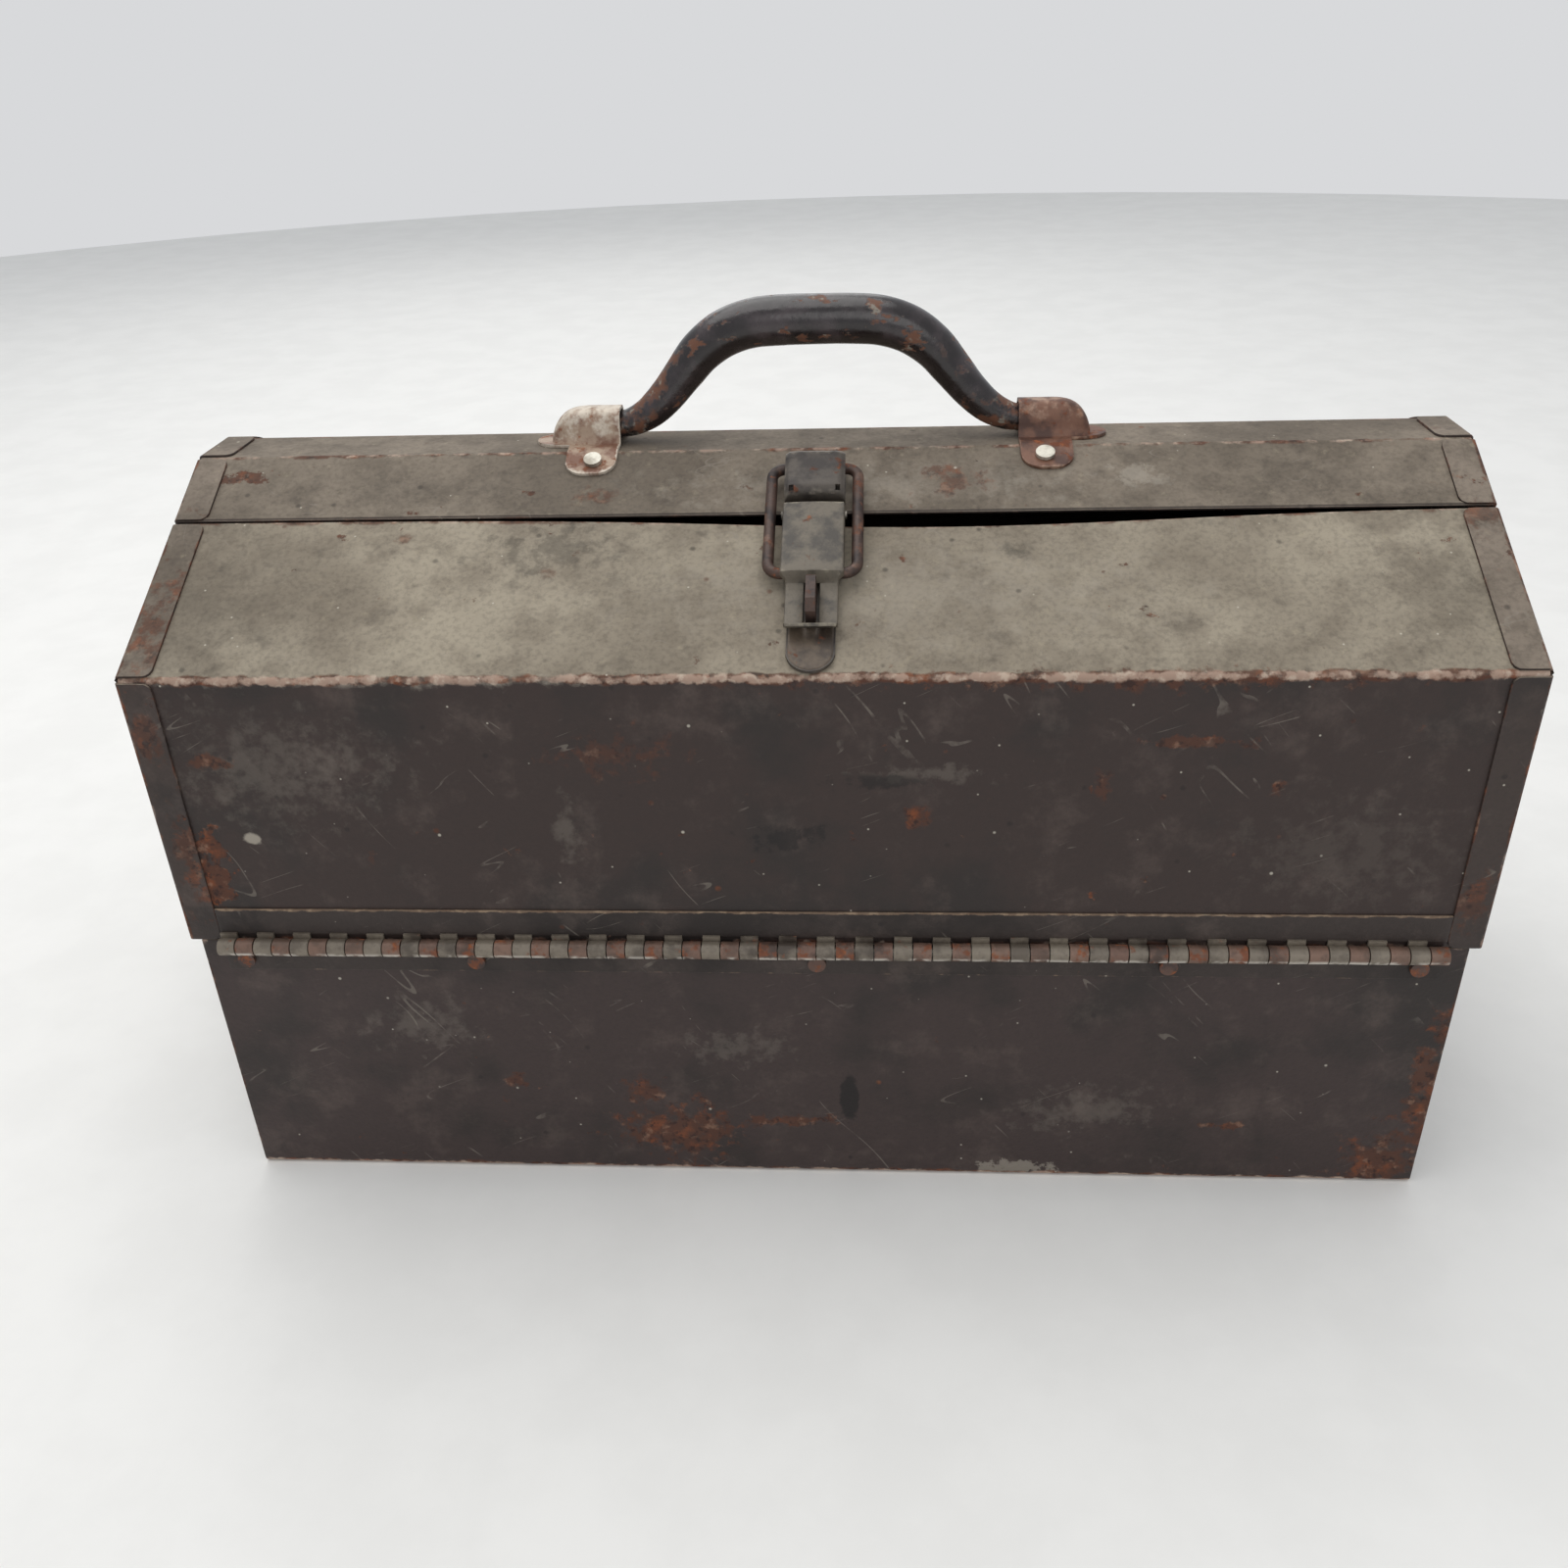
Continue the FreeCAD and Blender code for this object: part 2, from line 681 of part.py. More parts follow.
def build_rear_cap(end):
    """End cap of the rear cover with its folded tabs."""
    side = ENDS[end]
    outer = HALF_DEPTH + METAL
    seam_low = gable_point(SEAM_REAR, Size.of(0))
    slit = S["tab_slit"]
    plate = [(seam_low[0], COVER_BASE), seam_low, gable_point(SEAM_REAR, METAL),
             (-cap_roof_half(), ROOF + METAL), (cap_roof_half(), ROOF + METAL),
             (outer, cap_fold_height()), (outer, COVER_BASE)]
    top = [(-ROOF_HALF + slit, ROOF), (ROOF_HALF - slit, ROOF), (ROOF_HALF - slit, ROOF + METAL),
           (-ROOF_HALF + slit, ROOF + METAL)]
    tabs = [slope_strip(SEAM_REAR, GABLE_LENGTH - slit), top,
            slope_strip(slit, GABLE_LENGTH - slit, REAR), wall_strip(REAR)]
    build_cap(f"rear_cover_end_{end}", side, plate, tabs)


def build_cap(node, side, plate, tabs):
    """Pad an end plate and then its tabs, which grip the outside of the panel."""
    body = new_body(node)
    start = COVER_END_INNER if side > 0 else -HALF_WIDTH
    pad(body, "YZ_Plane", start, METAL, [plate])
    tab_start = HALF_WIDTH - S["tab_width"] if side > 0 else -HALF_WIDTH + METAL / 2
    for tab in tabs:
        pad(body, "YZ_Plane", tab_start, S["tab_width"] - METAL / 2, [tab])
    keep(node, body)


# --------------------------------------------------------------------------
# Trays, their pivots and the arms
# --------------------------------------------------------------------------
def cover_pivot(row, level):
    """Return (y, z) of the pivot that joins a tray to its cover."""
    out, up = LINKS[level]
    return (HINGE_OUT - out) * row, HINGE_UP + up


def arm_joint(row, level):
    """Return (y, z) of the pivot that joins a tray to its arms."""
    out, up = LINKS[level]
    return (ARM_PIVOT_Y - out) * row, ARM_PIVOT_Z + up


def build_tray(row, level):
    """Open tray with a hole at each end for the stud and for the pin."""
    where = "front" if row == FRONT else "rear"
    node = f"{where}_{level}_tray"
    low = S[f"{level}_tray_base"]
    high = low + S[f"{level}_tray_height"]
    near = S["tray_middle_gap"] / 2
    far = HALF_DEPTH - METAL - S["tray_front_gap"]
    wall = S["tray_metal"]
    spans = sorted([near * row, far * row], key=lambda size: size.value)
    outer = box(f"{node}_block", (-TRAY_HALF, spans[0], low), (TRAY_HALF, spans[1], high))
    inside = box(
        f"{node}_inside",
        (-TRAY_HALF + wall, spans[0] + wall, low + wall),
        (TRAY_HALF - wall, spans[1] - wall, high + wall),
    )
    fit = S["running_fit"]
    y_stud, z_stud = cover_pivot(row, level)
    y_pin, z_pin = arm_joint(row, level)
    tools = [
        inside,
        cylinder(f"{node}_stud_hole", (-HALF_WIDTH, y_stud, z_stud), S["pivot_neck"] + fit, S["box_width"]),
        cylinder(f"{node}_pin_hole", (-HALF_WIDTH, y_pin, z_pin), S["pivot_neck"] + fit, S["box_width"]),
    ]
    keep(node, cut(node, outer, tools))


def build_tray_pins(row, level):
    """Pins on a tray's ends that reach through the arms."""
    where = "front" if row == FRONT else "rear"
    node = f"{where}_{level}_tray_pins"
    inner = TRAY_HALF - S["tray_metal"]
    head = S["pivot_head_metal"]
    outside = ARM_OUTER + S["open_pivot_clearance"]
    steps = [
        (inner - head, inner, S["pivot_head"]),
        (inner, outside, S["pivot_neck"]),
        (outside, outside + head / 2, S["pivot_head"]),
    ]
    pins = [
        rivet_along_x(f"{node}_{end}", side, arm_joint(row, level), steps) for end, side in ENDS.items()
    ]
    keep(node, group(node, pins))


def build_tray_studs(row):
    """Shouldered studs on a cover's end caps that carry its trays."""
    where = "front" if row == FRONT else "rear"
    node = f"{where}_tray_studs"
    shoulder = TRAY_HALF + S["open_pivot_clearance"]
    inner = TRAY_HALF - S["tray_metal"] - S["open_pivot_clearance"]
    head = S["pivot_head_metal"]
    steps = [
        (inner - head, inner, S["pivot_head"]),
        (inner, shoulder, S["pivot_neck"]),
        (shoulder, COVER_END_INNER, S["pivot_head"]),
    ]
    studs = [
        rivet_along_x(f"{node}_{end}_{level}", side, cover_pivot(row, level), steps)
        for end, side in ENDS.items() for level in LINKS
    ]
    keep(node, group(node, studs))


def build_arm(row, end):
    """Flat arm from the case lug through both trays' pins."""
    where = "front" if row == FRONT else "rear"
    side = ENDS[end]
    node = f"{where}_arm_{end}"
    start = ARM_INNER if side > 0 else -ARM_OUTER
    foot = (ARM_PIVOT_Y * row, ARM_PIVOT_Z)
    tip = arm_joint(row, "upper")
    out, up = LINKS["upper"]
    length = root(out * out + up * up)
    half = S["arm_half_width"]
    off = (up / length * half * row, out / length * half)
    straight = [
        (foot[0] + off[0], foot[1] + off[1]), (tip[0] + off[0], tip[1] + off[1]),
        (tip[0] - off[0], tip[1] - off[1]), (foot[0] - off[0], foot[1] - off[1]),
    ]
    body = new_body(f"{node}_strip")
    pad(body, "YZ_Plane", start, S["arm_metal"], [straight])
    rounds = [
        cylinder(f"{node}_round_{index}", (start, *spot), half, S["arm_metal"])
        for index, spot in enumerate((foot, tip))
    ]
    blank = fuse(f"{node}_blank", [body] + rounds)
    tools = [cylinder(f"{node}_foot_hole", (start, *foot), S["pivot_neck"] + S["running_fit"], S["arm_metal"])]
    for level in LINKS:
        hole = S["pivot_neck"] + S["open_pivot_clearance"]
        tools.append(cylinder(f"{node}_{level}_hole", (start, *arm_joint(row, level)), hole, S["arm_metal"]))
    keep(node, cut(node, blank, tools))


# --------------------------------------------------------------------------
# Latch, drawn flat in its own frame: Y runs up the slope, Z stands off it
# --------------------------------------------------------------------------
LATCH_HOLE = S["rivet_shank"] + S["running_fit"]
FOLD_TURNS = (-90, -60, -30, 0, 30, 60, 90)


def on_slope(thing):
    """Lay an object that was drawn flat on the front slope."""
    return place(thing, (0, -HALF_DEPTH, S["fold_height"]), (1, 0, 0), GABLE_ANGLE)


def latch_rivet_places():
    """Return (x, along) of the rivets under the latch base."""
    return [(Size.of(0), S["latch_rivet_low"]), (Size.of(0), S["latch_rivet_high"])]


def keeper_rivet_places():
    """Return (x, along) of the rivets in the keeper's lower leaf."""
    return [(S["keeper_rivet_half"] * sign, S["keeper_rivet_along"]) for sign in (-1, 1)]


def latch_rivet(name, x, along, metal):
    """Add one rivet that clamps a fitting of this thickness to the slope."""
    low_head = S["rivet_head_rise"]
    pieces = [
        slope_cylinder(f"{name}_tail", x, along, -METAL - low_head, S["rivet_head"], low_head),
        slope_cylinder(f"{name}_shank", x, along, -METAL, S["rivet_shank"], METAL + metal),
        slope_cylinder(f"{name}_head", x, along, metal, S["rivet_head"] * 0.8, low_head * 0.8),
    ]
    return fuse(name, pieces)


def build_latch_base():
    """Base plate with a rounded nose and two lugs for the lever's pin."""
    body = new_body("latch_base_plate")
    half = S["latch_base_half"]
    metal = S["latch_base_metal"]
    length = S["latch_base_length"]
    plate = [(-half, half), (half, half), (half, length), (-half, length)]
    holes = [((x, along), LATCH_HOLE) for x, along in latch_rivet_places()]
    nose = cylinder("latch_base_nose", (0, half + 1.5, 0), half, metal, "z")
    nose_hole = cylinder("latch_base_nose_hole", (0, S["latch_rivet_low"], 0), LATCH_HOLE, metal, "z")
    pad(body, "XY_Plane", 0, metal, [plate], holes[1:])
    lugs = []
    pivot = S["lever_pivot_along"]
    for side in (-1, 1):
        low = half - metal if side > 0 else -half
        lug = S["latch_lug_half"]
        spot = (low, pivot, S["latch_pin_height"])
        lugs.append(box(f"latch_lug_{side + 1}", (low, pivot - lug, 0), (low + metal, pivot + lug, spot[2])))
        lugs.append(cylinder(f"latch_lug_round_{side + 1}", spot, lug, metal))
    blank = fuse("latch_base_blank", [body, nose] + lugs)
    pin_hole = cylinder(
        "latch_base_pin_hole", (-half, pivot, S["latch_pin_height"]), S["latch_pin_radius"], half * 2
    )
    keep("latch_base", on_slope(cut("latch_base", blank, [nose_hole, pin_hole])))


def build_latch_base_rivets():
    """Rivets that hold the latch base on the front cover."""
    rivets = [
        latch_rivet(f"latch_rivet_{index}", x, along, S["latch_base_metal"])
        for index, (x, along) in enumerate(latch_rivet_places())
    ]
    keep("latch_base_rivets", group("latch_base_rivets", rivets))


def build_lever_pin():
    """Pin that the latch lever turns on."""
    half = S["lever_half"] + S["lever_metal"] / 2
    start = (-half, S["lever_pivot_along"], S["latch_pin_height"])
    pin = cylinder("latch_lever_pin_rod", start, S["latch_pin_radius"], half * 2)
    keep("latch_lever_pin", on_slope(group("latch_lever_pin", [pin])))


def build_padlock_staple():
    """Upright eye that stands through the lever's slot."""
    start = S["staple_start"]
    end = start + S["staple_length"]
    metal = S["latch_base_metal"]
    high = S["staple_height"]
    slope = S["staple_length"] / 5
    outline = [(start, metal), (end, metal), (end, high - slope), (end - slope, high),
               (start + slope, high), (start, high - slope)]
    body = new_body("padlock_staple")
    hole = (start + S["staple_length"] / 2, high - slope / 2 - S["padlock_radius"])
    pad(body, "YZ_Plane", -S["staple_half"], S["staple_half"] * 2, [outline], [(hole, S["padlock_radius"])])
    keep("padlock_staple", on_slope(body))


def build_latch_lever():
    """Pressed lever: a roof with side flanges and a slotted grip below it."""
    metal = S["lever_metal"]
    pivot = S["lever_pivot_along"]
    top = S["lever_height"]
    step = S["lever_grip_along"]
    end = pivot + S["lever_heel"]
    start = pivot - S["lever_length"]
    grip = S["lever_grip_height"]
    half = S["lever_half"]
    body = new_body("latch_lever_top")
    profile = [
        (start, grip - metal), (step, grip - metal), (step + metal, top - metal), (end, top - metal),
        (end, top), (step, top), (step - metal, grip), (start, grip),
    ]
    pad(body, "YZ_Plane", -half, half * 2, [profile])
    flanges = new_body("latch_lever_flanges")
    low = S["latch_base_metal"] + S["latch_pin_radius"] / 3
    flange = [(step + metal, top - metal), (S["bail_pivot_along"] - 3.4, low), (end, low), (end, top - metal / 2),
              (step + metal, top - metal / 2)]
    pivots = [
        ((pivot, S["latch_pin_height"]), S["latch_pin_radius"] + S["running_fit"]),
        ((S["bail_pivot_along"], S["latch_pin_height"]), S["bail_wire_radius"] + S["running_fit"]),
    ]
    pad(flanges, "YZ_Plane", -half, metal, [flange], pivots)
    other = new_body("latch_lever_flange_right")
    pad(other, "YZ_Plane", half - metal, metal, [flange], pivots)
    blank = fuse("latch_lever_blank", [body, flanges, other])
    narrow = half - S["lever_grip_half"]
    slot = S["staple_slot_half"]
    tools = [
        box("lever_trim_left", (-half, start - 1, 0), (-half + narrow, step, top)),
        box("lever_trim_right", (half - narrow, start - 1, 0), (half, step, top)),
        box("lever_slot", (-slot, S["staple_start"] - 1.2, 0),
            (slot, S["staple_start"] + S["staple_length"] + 1.2, grip + 0.1)),
    ]
    keep("latch_lever", on_slope(cut("latch_lever", blank, tools)))


def build_latch_bail():
    """Wire bail that hangs on the lever and hooks behind the keeper."""
    body = new_body("latch_bail")
    wire = S["bail_wire_radius"]
    half = S["bail_half"]
    start = S["bail_pivot_along"]
    end = start + S["bail_length"]
    bend_radius = S["bail_bend"]
    height = S["latch_pin_height"]
    inner = S["lever_half"] - S["lever_metal"]
    path = sketch_on(body, "XY_Plane", height)
    corners = [(-inner, start), (-half, start), (-half, end), (half, end), (half, start), (inner, start)]
    draw_wire_path(path, corners, bend_radius)
    section = sketch_on(body, "YZ_Plane", -inner)
    draw_circle(section, (start, height), wire)
    pipe = body.newObject("PartDesign::AdditivePipe", "latch_bail_pipe")
    pipe.Profile = section
    pipe.Spine = path
    DOC.recompute()
    keep("latch_bail", on_slope(body))


def draw_wire_path(sketch, corners, radius):
    """Draw an open path of square corners, each rounded by an arc of this radius."""
    previous = corners[0]
    line = None
    for index in range(1, len(corners) - 1):
        before, corner, after = corners[index - 1:index + 2]
        into = step_towards(corner, before, radius)
        out = step_towards(corner, after, radius)
        centre = (into[0] + out[0] - corner[0], into[1] + out[1] - corner[1])
        line = draw_line(sketch, previous, into)
        draw_quarter(sketch, centre, into, out, line)
        previous = out
    draw_line(sketch, previous, corners[-1])


def vector(point):
    """Return a sketch point as a vector."""
    return FreeCAD.Vector(Size.of(point[0]).value, Size.of(point[1]).value, 0)


def draw_line(sketch, start, end):
    """Draw a line with both ends bound and return its index."""
    index = sketch.addGeometry(Part.LineSegment(vector(start), vector(end)), False)
    fix_point(sketch, index, 1, start)
    fix_point(sketch, index, 2, end)
    return index


def step_towards(corner, target, distance):
    """Move from a corner towards a point that shares one coordinate with it."""
    moved = []
    for here, there in zip(corner, target):
        here = Size.of(here)
        gap = Size.of(there).value - here.value
        shift = 0 if abs(gap) < 1e-9 else math.copysign(1, gap)
        moved.append(here + distance * shift)
    return tuple(moved)


def draw_quarter(sketch, centre, start, end, line):
    """Draw a quarter circle from the end of a line to a bound point."""
    middle = vector(centre)
    arms = [vector(point) - middle for point in (start, end)]
    angles = [math.atan2(arm.y, arm.x) for arm in arms]
    forward = (angles[1] - angles[0]) % (2 * math.pi) < math.pi
    first, last = angles if forward else reversed(angles)
    last = first + (last - first) % (2 * math.pi)
    circle = Part.Circle(middle, FreeCAD.Vector(0, 0, 1), arms[0].Length)
    index = sketch.addGeometry(Part.ArcOfCircle(circle, first, last), False)
    start_point, end_point = (1, 2) if forward else (2, 1)
    sketch.addConstraint(Sketcher.Constraint("Coincident", index, start_point, line, 2))
    fix_point(sketch, index, end_point, end)
    centre_x = Size.of(centre[0])
    held = sketch.addConstraint(Sketcher.Constraint("DistanceX", -1, 1, index, 3, centre_x.value))
    bind(sketch, f"Constraints[{held}]", centre_x)


def fold_points(nose, depth, middle, half):
    """Return (along, above) points round a rolled fold, from its foot to its top."""
    turns = [math.radians(turn) for turn in FOLD_TURNS]
    return [(nose + depth * (1 - math.cos(t)), middle + half * math.sin(t)) for t in turns]


def build_keeper():
    """Catch: a strip rolled back over itself, open to the rear where the bail hooks."""
    body = new_body("latch_keeper_blank")
    start = S["keeper_start"]
    metal = S["keeper_metal"]
    high = S["keeper_height"]
    depth = S["keeper_nose"]
    outside = fold_points(start, depth, high / 2, high / 2)
    inside = fold_points(start + metal, depth - metal, high / 2, high / 2 - metal)
    leaf_ends = [(S["keeper_end"], high), (S["keeper_end"], high - metal)]
    foot_ends = [(S["keeper_foot_end"], metal), (S["keeper_foot_end"], 0)]
    profile = outside + leaf_ends + inside[::-1] + foot_ends
    pad(body, "YZ_Plane", -S["keeper_half"], S["keeper_half"] * 2, [profile])
    tools = [
        cylinder(f"latch_keeper_hole_{index}", (x, along, 0), LATCH_HOLE, metal, "z")
        for index, (x, along) in enumerate(keeper_rivet_places())
    ]
    keep("latch_keeper", on_slope(cut("latch_keeper", body, tools)))


def build_keeper_rivets():
    """Rivets that hold the keeper on the rear cover."""
    rivets = [
        latch_rivet(f"keeper_rivet_{index}", x, along, S["keeper_metal"])
        for index, (x, along) in enumerate(keeper_rivet_places())
    ]
    keep("latch_keeper_rivets", group("latch_keeper_rivets", rivets))


# --------------------------------------------------------------------------
# Carrying handle and its ears
# --------------------------------------------------------------------------
HANDLE_AXIS = ROOF + S["handle_axis_rise"]


def ear_rivet_places():
    """Return (x, row) of the rivets in the ears' tabs."""
    x = S["ear_inner"] + S["ear_rivet_inset"]
    return [(x * side, row) for side in (-1, 1) for row in (FRONT, REAR)]


def build_ear(end):
    """Strap over the handle's end, with a tab on each slope and a closed dome."""
    side = ENDS[end]
    metal = S["ear_metal"]
    inner = S["ear_inner"]
    bore = S["handle_end_radius"] + S["handle_fit"]
    outer = bore + metal
    strap_end = inner + S["ear_strap_width"]
    dome_end = inner + S["ear_dome_width"]
    tip = dome_end + S["ear_tip_width"]
    low = inner if side > 0 else -strap_end
    rise = metal * (1 - GABLE_COS) / GABLE_SIN
    feet = [
        gable_point(S["ear_tab_end"], Size.of(0)), (-ROOF_HALF, ROOF), (ROOF_HALF, ROOF),
        gable_point(S["ear_tab_end"], Size.of(0), REAR), gable_point(S["ear_tab_end"], metal, REAR),
        (ROOF_HALF + rise, ROOF + metal), (-ROOF_HALF - rise, ROOF + metal),
        gable_point(S["ear_tab_end"], metal),
    ]
    body = new_body(f"handle_ear_{end}_feet")
    pad(body, "YZ_Plane", low, S["ear_strap_width"], [feet])
    dome_low = inner if side > 0 else -dome_end
    dome = cylinder(f"handle_ear_{end}_dome", (dome_low, 0, HANDLE_AXIS), outer, S["ear_dome_width"])
    sides = box(f"handle_ear_{end}_sides", (dome_low, -outer, ROOF),
                (dome_low + S["ear_dome_width"], outer, HANDLE_AXIS))
    tip_low = dome_end - metal if side > 0 else -(tip - outer)
    plate = box(f"handle_ear_{end}_tip", (tip_low, -outer, ROOF),
                (tip_low + S["ear_tip_width"] - outer + metal, outer, ROOF + metal))
    tip_round = cylinder(f"handle_ear_{end}_tip_round", ((tip - outer) * side, 0, ROOF), outer, metal, "z")
    blank = fuse(f"handle_ear_{end}_blank", [body, dome, sides, plate, tip_round])
    hollow_low = inner if side > 0 else -(dome_end - metal)
    length = S["ear_dome_width"] - metal
    tools = [
        cylinder(f"handle_ear_{end}_bore", (hollow_low, 0, HANDLE_AXIS), bore, length),
        box(f"handle_ear_{end}_hollow", (hollow_low, -bore, ROOF), (hollow_low + length, bore, HANDLE_AXIS)),
    ]
    for index, (x, row) in enumerate(ear_rivet_places()):
        if x.value * side > 0:
            args = (x, S["ear_rivet_along"], -metal, LATCH_HOLE, metal * 4)
            tools.append(slope_cylinder(f"handle_ear_{end}_hole_{index}", *args, side=row))
    keep(f"handle_ear_{end}", cut(f"handle_ear_{end}", blank, tools))


def build_ear_rivets():
    """Rivets that hold both ears on the rear cover."""
    rivets = []
    rise = S["rivet_head_rise"]
    for index, (x, row) in enumerate(ear_rivet_places()):
        name = f"ear_rivet_{index}"
        along = S["ear_rivet_along"]
        metal = S["ear_metal"]
        pieces = [
            slope_cylinder(f"{name}_tail", x, along, -METAL - rise, S["rivet_head"], rise, row),
            slope_cylinder(f"{name}_shank", x, along, -METAL, S["rivet_shank"], METAL + metal, row),
            slope_cylinder(f"{name}_head", x, along, metal, S["rivet_head"], rise, row),
        ]
        rivets.append(fuse(name, pieces))
    keep("handle_ear_rivets", group("handle_ear_rivets", rivets))


def rod(name, start, end, start_radius, end_radius):
    """Add a round bar in the XZ plane between two points of the handle's axis."""
    thing = DOC.addObject("Part::Cone" if start_radius is not end_radius else "Part::Cylinder", name)
    run = end[0] - start[0]
    rise = end[1] - start[1]
    if start_radius is not end_radius:
        bind(thing, "Radius1", start_radius)
        bind(thing, "Radius2", end_radius)
    else:
        bind(thing, "Radius", start_radius)
    bind(thing, "Height", root(run * run + rise * rise))
    tilt = slope_angle(run, rise) if rise.value else Size.of(90)
    if run.value < 0 and not rise.value:
        tilt = Size.of(-90)
    return place(thing, (start[0], 0, start[1]), (0, 1, 0), tilt)


def ball(name, centre, radius):
    """Add a bound sphere on the handle's axis."""
    thing = DOC.addObject("Part::Sphere", name)
    bind(thing, "Radius", radius)
    return place(thing, (centre[0], 0, centre[1]))


def build_handle():
    """Bowed tubular handle whose turned-out ends sit in the ears."""
    end_radius = S["handle_end_radius"]
    grip_radius = S["handle_grip_radius"]
    crown = (Size.of(0), HANDLE_AXIS + S["handle_crown_rise"])
    pieces = [ball("handle_crown", crown, grip_radius)]
    for side in (-1, 1):
        tip = (S["handle_end_half"] * side, HANDLE_AXIS)
        knee = (S["handle_knee_half"] * side, HANDLE_AXIS)
        shoulder = (S["handle_grip_half"] * side, HANDLE_AXIS + S["handle_grip_rise"])
        pieces.append(rod(f"handle_stub_{side + 1}", tip, knee, end_radius, end_radius))
        pieces.append(ball(f"handle_knee_{side + 1}", knee, end_radius))
        pieces.append(rod(f"handle_neck_{side + 1}", knee, shoulder, end_radius, grip_radius))
        pieces.append(ball(f"handle_shoulder_{side + 1}", shoulder, grip_radius))
        pieces.append(rod(f"handle_grip_{side + 1}", shoulder, crown, grip_radius, grip_radius))
    keep("handle", fuse("handle", pieces))


def build_all():
    """Build every piece of the tool box."""
    build_case_shell()
    build_arm_rivets()
    for end in ENDS:
        build_case_end(end)
        build_front_cap(end)
        build_rear_cap(end)
        build_ear(end)
    for row in (FRONT, REAR):
        build_leaf(row, upper=True)
        build_leaf(row, upper=False)
        build_hinge_pin(row)
        build_hinge_rivets(row)
        build_tray_studs(row)
        for level in LINKS:
            build_tray(row, level)
            build_tray_pins(row, level)
        for end in ENDS:
            build_arm(row, end)
    build_front_panel()
    build_rear_panel()
    build_latch_base()
    build_latch_base_rivets()
    build_lever_pin()
    build_padlock_staple()
    build_latch_lever()
    build_latch_bail()
    build_keeper()
    build_keeper_rivets()
    build_ear_rivets()
    build_handle()


def check_document():
    """Stop if any object failed or any piece has no valid shape."""
    for thing in DOC.Objects:
        if {"Invalid", "Error"} & set(thing.State):
            raise RuntimeError(f"{thing.Label} failed: {thing.State}")
    for node, thing in NODES.items():
        shape = thing.Shape
        if shape.isNull() or not shape.isValid() or not shape.Solids:
            raise RuntimeError(f"{node} has no valid solid")


def export_parts():
    """Write each piece to its own STEP file."""
    os.makedirs(PARTS_FOLDER, exist_ok=True)
    for node, thing in NODES.items():
        thing.Shape.exportStep(os.path.join(PARTS_FOLDER, f"{node}.step"))


build_all()
DOC.recompute()
check_document()
export_parts()
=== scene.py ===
"""Looks for a steel cantilever tool box with a gabled lid that splits in two.

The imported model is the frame: every new piece is built where the CAD solids are and
rides on the same bodies. Lengths inside the classes are millimetres; meshes are metres.
"""

import json
import logging
import math
from collections.abc import Callable, Iterator, Sequence
from contextlib import contextmanager
from dataclasses import dataclass
from enum import Enum

import bmesh
import bpy
from mathutils import Matrix, Vector, noise


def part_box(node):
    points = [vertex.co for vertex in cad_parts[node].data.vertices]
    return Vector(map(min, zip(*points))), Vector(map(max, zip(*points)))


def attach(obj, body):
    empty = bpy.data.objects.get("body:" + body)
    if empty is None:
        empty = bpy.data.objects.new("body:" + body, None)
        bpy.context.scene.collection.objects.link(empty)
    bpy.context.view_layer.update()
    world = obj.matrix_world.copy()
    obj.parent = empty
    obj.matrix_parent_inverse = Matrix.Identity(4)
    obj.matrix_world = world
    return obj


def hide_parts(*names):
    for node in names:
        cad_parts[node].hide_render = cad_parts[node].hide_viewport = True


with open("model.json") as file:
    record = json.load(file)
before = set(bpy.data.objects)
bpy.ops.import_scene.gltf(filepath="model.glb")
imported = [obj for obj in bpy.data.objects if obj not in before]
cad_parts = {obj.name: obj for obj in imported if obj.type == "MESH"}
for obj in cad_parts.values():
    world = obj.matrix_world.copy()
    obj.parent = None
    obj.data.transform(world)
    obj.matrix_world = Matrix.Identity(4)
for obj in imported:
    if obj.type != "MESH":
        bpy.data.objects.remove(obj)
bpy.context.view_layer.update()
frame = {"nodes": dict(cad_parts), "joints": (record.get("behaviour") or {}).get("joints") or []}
LOG = logging.getLogger("tool_box")
MM = 0.001
FLAT_AREA = 6e-5  # square metres; larger faces are flat metal, so they keep their own normal
BEVEL_ANGLE = math.radians(40)  # edges sharper than this are rounded
FOLD_STEPS = 8  # divisions of a rounded fold
SENSOR = 36.0  # width of the camera's sensor in millimetres

Spot = tuple[float, float]
Point = tuple[float, float, float]
Mesh = tuple[list[Point], list[tuple[int, ...]]]
Warp = Callable[[Vector], Vector]


# --------------------------------------------------------------------------
# Meshes
# --------------------------------------------------------------------------
def make_piece(name: str, points: Sequence[Point], faces: Sequence[Sequence[int]],
               wear: Sequence[float] | None = None) -> bpy.types.Object:
    """Make a mesh object from millimetre points, linked to the scene.

    Args:
        name: Name of the piece.
        points: Corners in millimetres.
        faces: Corner indices of each face.
        wear: How worn each corner is, from 0 to 1.

    Returns:
        The new object, at the origin.
    """
    mesh = bpy.data.meshes.new(name)
    mesh.from_pydata([tuple(value * MM for value in point) for point in points], [], faces)
    if wear is not None:
        layer = mesh.attributes.new("wear", "FLOAT", "POINT")
        layer.data.foreach_set("value", list(wear))
    mesh.update()
    piece = bpy.data.objects.new(name, mesh)
    bpy.context.scene.collection.objects.link(piece)
    return piece


